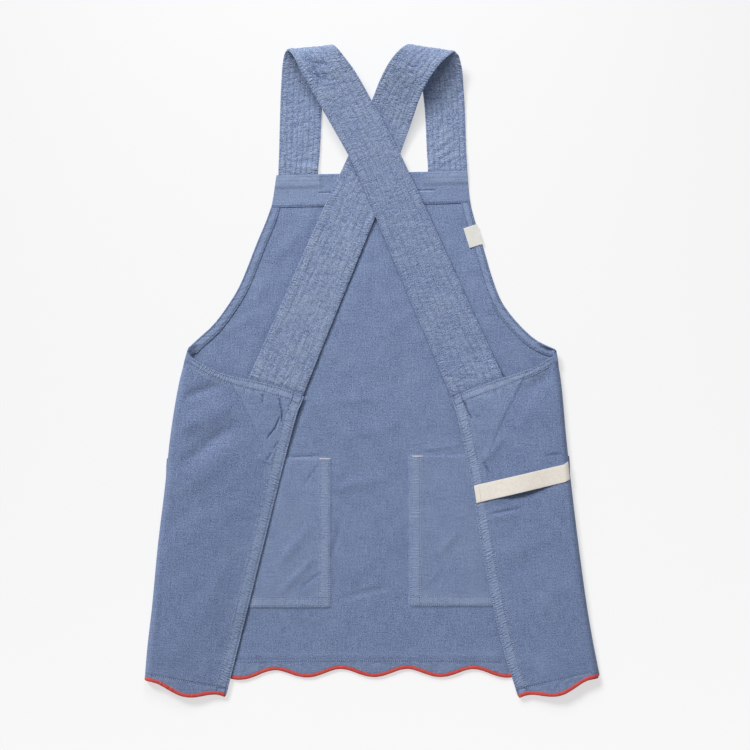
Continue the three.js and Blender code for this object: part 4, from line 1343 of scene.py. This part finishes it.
facing_stitches = stitches("facing_stitches", facing_rows, rubbed_thread)

# %% Bar tacks at the pocket mouths
TACKS = (-73.5, -58.5, -122.5), (57, 71.5, -119)
TACK_PITCH, TACK_LENGTH, TACK_ABOVE = 1.1, 1.9, CLOTH / 2 + PROUD + 0.15
TACK_POINTS, TACK_SWAY, TACK_TURN = 60, 0.5, 1.3
tack_rows = []
for x0, x1, y in TACKS:
    x = np.linspace(x0, x1, TACK_POINTS)
    zigzag = y + TACK_SWAY * np.sin(np.arange(TACK_POINTS) * TACK_TURN)
    tack_rows.append(on_front(x, zigzag, TACK_ABOVE, pitch=TACK_PITCH, length=TACK_LENGTH))
bar_tacks = stitches("bar_tacks", tack_rows, pale_thread)

# %% Stitches of the back panels
PATCH_SUNK = 0.2
# Where the rows run: down the placket in mm, and along the top band as shares of the way.
PLACKET_RUN, BAND_RUN = np.linspace(-46, -444, 400), np.linspace(0.05, 0.985, 300)


def on_back(side, x, y, lift=PROUD):
    """A row of stitches along these places of a back panel."""
    return stitch_row(joined(x, y, back_height(side, x, y) + CLOTH / 2 + lift))


back_stitches, patch_stitches = {}, {}
for side in SIGN:
    rows = []
    y = PLACKET_RUN
    for inset in (EDGE_ROW, PLACKET - ROW_INSET):
        x = SIGN[side] * (free_edge(side, y) + inset / EDGE_SLANT)
        keep = (from_top_edge(side, x, y) > 3) & (y > back_hem(side, x) + 2)
        rows.append(on_back(side, x[keep], y[keep]))
    across = (BEND_REACH + BAND_RUN * BACK_FLAT) / (BEND_REACH + BACK_FLAT)
    for inset in (EDGE_ROW, top_band_width(BAND_RUN) - ROW_INSET):
        y = read(BACK_TOP, side, across) - inset / TOP_SLANT
        x = SIGN[side] * mix(fold_line(side, y) - BEND_REACH, free_edge(side, y), BAND_RUN)
        rows.append(on_back(side, x, y))
    y = np.linspace(PATCHES[side]["y"][0] - 12, PATCHES[side]["y"][-1], ROW_POINTS)
    patch_row = on_back(side, read(PATCHES[side], "x", y), y, PROUD - PATCH_SUNK)
    patch_stitches[side] = stitches(f"{side}_patch_stitches", [patch_row], rubbed_thread)
    x = SIGN[side] * np.linspace(SIDE_FOLD[side][-1] - 12, BACK_EDGE[side][-1] + 14, ROW_POINTS)
    rows.append(on_back(side, x, hem_line(side, x)))
    back_stitches[side] = stitches(f"{side}_back_stitches", rows)

# %% Stitches of the straps
for side, (grid, face, part) in strap_sheets.items():
    rows = []
    for line in np.linspace(-QUILT_EDGE, QUILT_EDGE, QUILT_ROWS):
        column = int(np.argmin(np.abs(part - line)))
        for turn in (1, -1):
            lifted = grid[:, column] + turn * face[:, column] * (STRAP_WALL / 2 + PROUD)
            lifted[:, 2] = np.maximum(lifted[:, 2], PROUD)
            rows.append(stitch_row(lifted, turn * face[:, column]))
    stitches(f"{side}_strap_stitches", rows, rubbed_thread)

# %% Stitches of the tape
TAPE_PITCH, TAPE_STITCH = 2.4, 1.8
loop_end = loop_point(LOOP_SEWN, np.linspace(-0.44, 0.44, 40), TAPE / 2 + PROUD)
loop_row = stitch_row(loop_end, pitch=TAPE_PITCH, length=TAPE_STITCH)
tape_stitches = stitches("tape_stitches", [loop_row], pale_thread)

# %% [markdown]
# ## Cut sizes of the back panels
# Each back panel's cut size is listed as its width and length in m and its area in m², but nothing here
# uses them.

# %% Cut sizes of the sheets
BACK_FLAT_SIZE = {"left": (0.2, 0.48, 0.0678), "right": (0.19, 0.48, 0.0628)}
for side in SIGN:
    wide, long, area = BACK_FLAT_SIZE[side]
    print(side, "sheets declared with their cut sizes")

# %% [markdown]
# ## Table, light and camera
# The smock lies on a plain pale table and is seen from straight above. A low window past the left
# shoulder gives the folds their short shadows, and a softbox past the bib makes the top brighter than
# the hem. A white background would do without a table, but a table also catches the smock's shadow. It
# is a little luminous, as a light table is, which keeps it even from edge to edge.

# %% Table
FLOOR_HALF, FLOOR_LEVEL = 4.0, -0.0004
FLOOR_GLOW = {"From Min": -0.55, "From Max": 0.55, "To Min": 0.605, "To Max": 0.477}
floor_corners = [(-1, -1), (1, -1), (1, 1), (-1, 1)]
floor_mesh = bpy.data.meshes.new("floor")
floor_mesh.from_pydata(
    [(x * FLOOR_HALF, y * FLOOR_HALF, FLOOR_LEVEL) for x, y in floor_corners], [], [(0, 1, 2, 3)]
)
floor = placed("floor", floor_mesh)
# Matte paper: no shine, so that only soft shadows show on it.
paper, tree = empty_material("matte_paper")
place = node(tree, "ShaderNodeTexCoord")["Object"]
height = node(tree, "ShaderNodeSeparateXYZ", {0: place})["Y"]
glow = node(tree, "ShaderNodeMapRange", {"Value": height, **FLOOR_GLOW})[0]
diffuse = node(tree, "ShaderNodeBsdfDiffuse", {"Color": linear("#b0b0b0")})[0]
light = node(tree, "ShaderNodeEmission", {"Color": linear("#ffffff"), "Strength": glow})[0]
both = node(tree, "ShaderNodeAddShader", {0: diffuse, 1: light})[0]
node(tree, "ShaderNodeOutputMaterial", {"Surface": both})
floor_mesh.materials.append(paper)
floor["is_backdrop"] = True
print("Table side in m:", 2 * FLOOR_HALF)

# %% Light
ROOM_LIGHT, SUN_WIDE, SOFTBOX_SIZE = 0.24, math.radians(18), 0.6
LAMPS = {
    "window": {"kind": "SUN", "place": (-0.75, 1.05, 1.0), "energy": 2.23},
    "softbox": {"kind": "AREA", "place": (-0.1, 1.2, 1.0), "energy": 9},
}
world = bpy.data.worlds.new("soft_room")
world.use_nodes = True
background = world.node_tree.nodes["Background"].inputs
background["Color"].default_value = linear("#ffffff")
background["Strength"].default_value = ROOM_LIGHT
bpy.context.scene.world = world
for name, setup in LAMPS.items():
    lamp_data = bpy.data.lights.new(name, setup["kind"])
    lamp_data.energy = setup["energy"]
    lamp = placed(name, lamp_data)
    lamp.location = setup["place"]
    lamp.rotation_mode = "QUATERNION"
    lamp.rotation_quaternion = Vector(setup["place"]).to_track_quat("Z", "Y")
bpy.data.lights["window"].angle = SUN_WIDE
bpy.data.lights["softbox"].size = SOFTBOX_SIZE
bpy.context.scene.view_settings.view_transform = "Standard"
print("Lamps:", list(LAMPS))

# %% Camera
PHOTO_SIDE, PIXEL = 750, 1.4 * MM
LENS, SENSOR, FAR_AWAY = 200, 36, 100
VIEW_CENTRE = 4.2 * MM, -5.2 * MM
camera_data = bpy.data.cameras.new("camera")
camera_data.lens = LENS
camera_data.sensor_width = SENSOR
camera_data.clip_end = FAR_AWAY
camera = placed("camera", camera_data)
camera.location = (*VIEW_CENTRE, PHOTO_SIDE * PIXEL * LENS / SENSOR)
bpy.context.scene.camera = camera
print("Camera height in m:", round(camera.location.z, 2))

# %% Sizes, and the end
low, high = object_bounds()
print("Visual box in mm:", [round(side / MM, 1) for side in high - low])
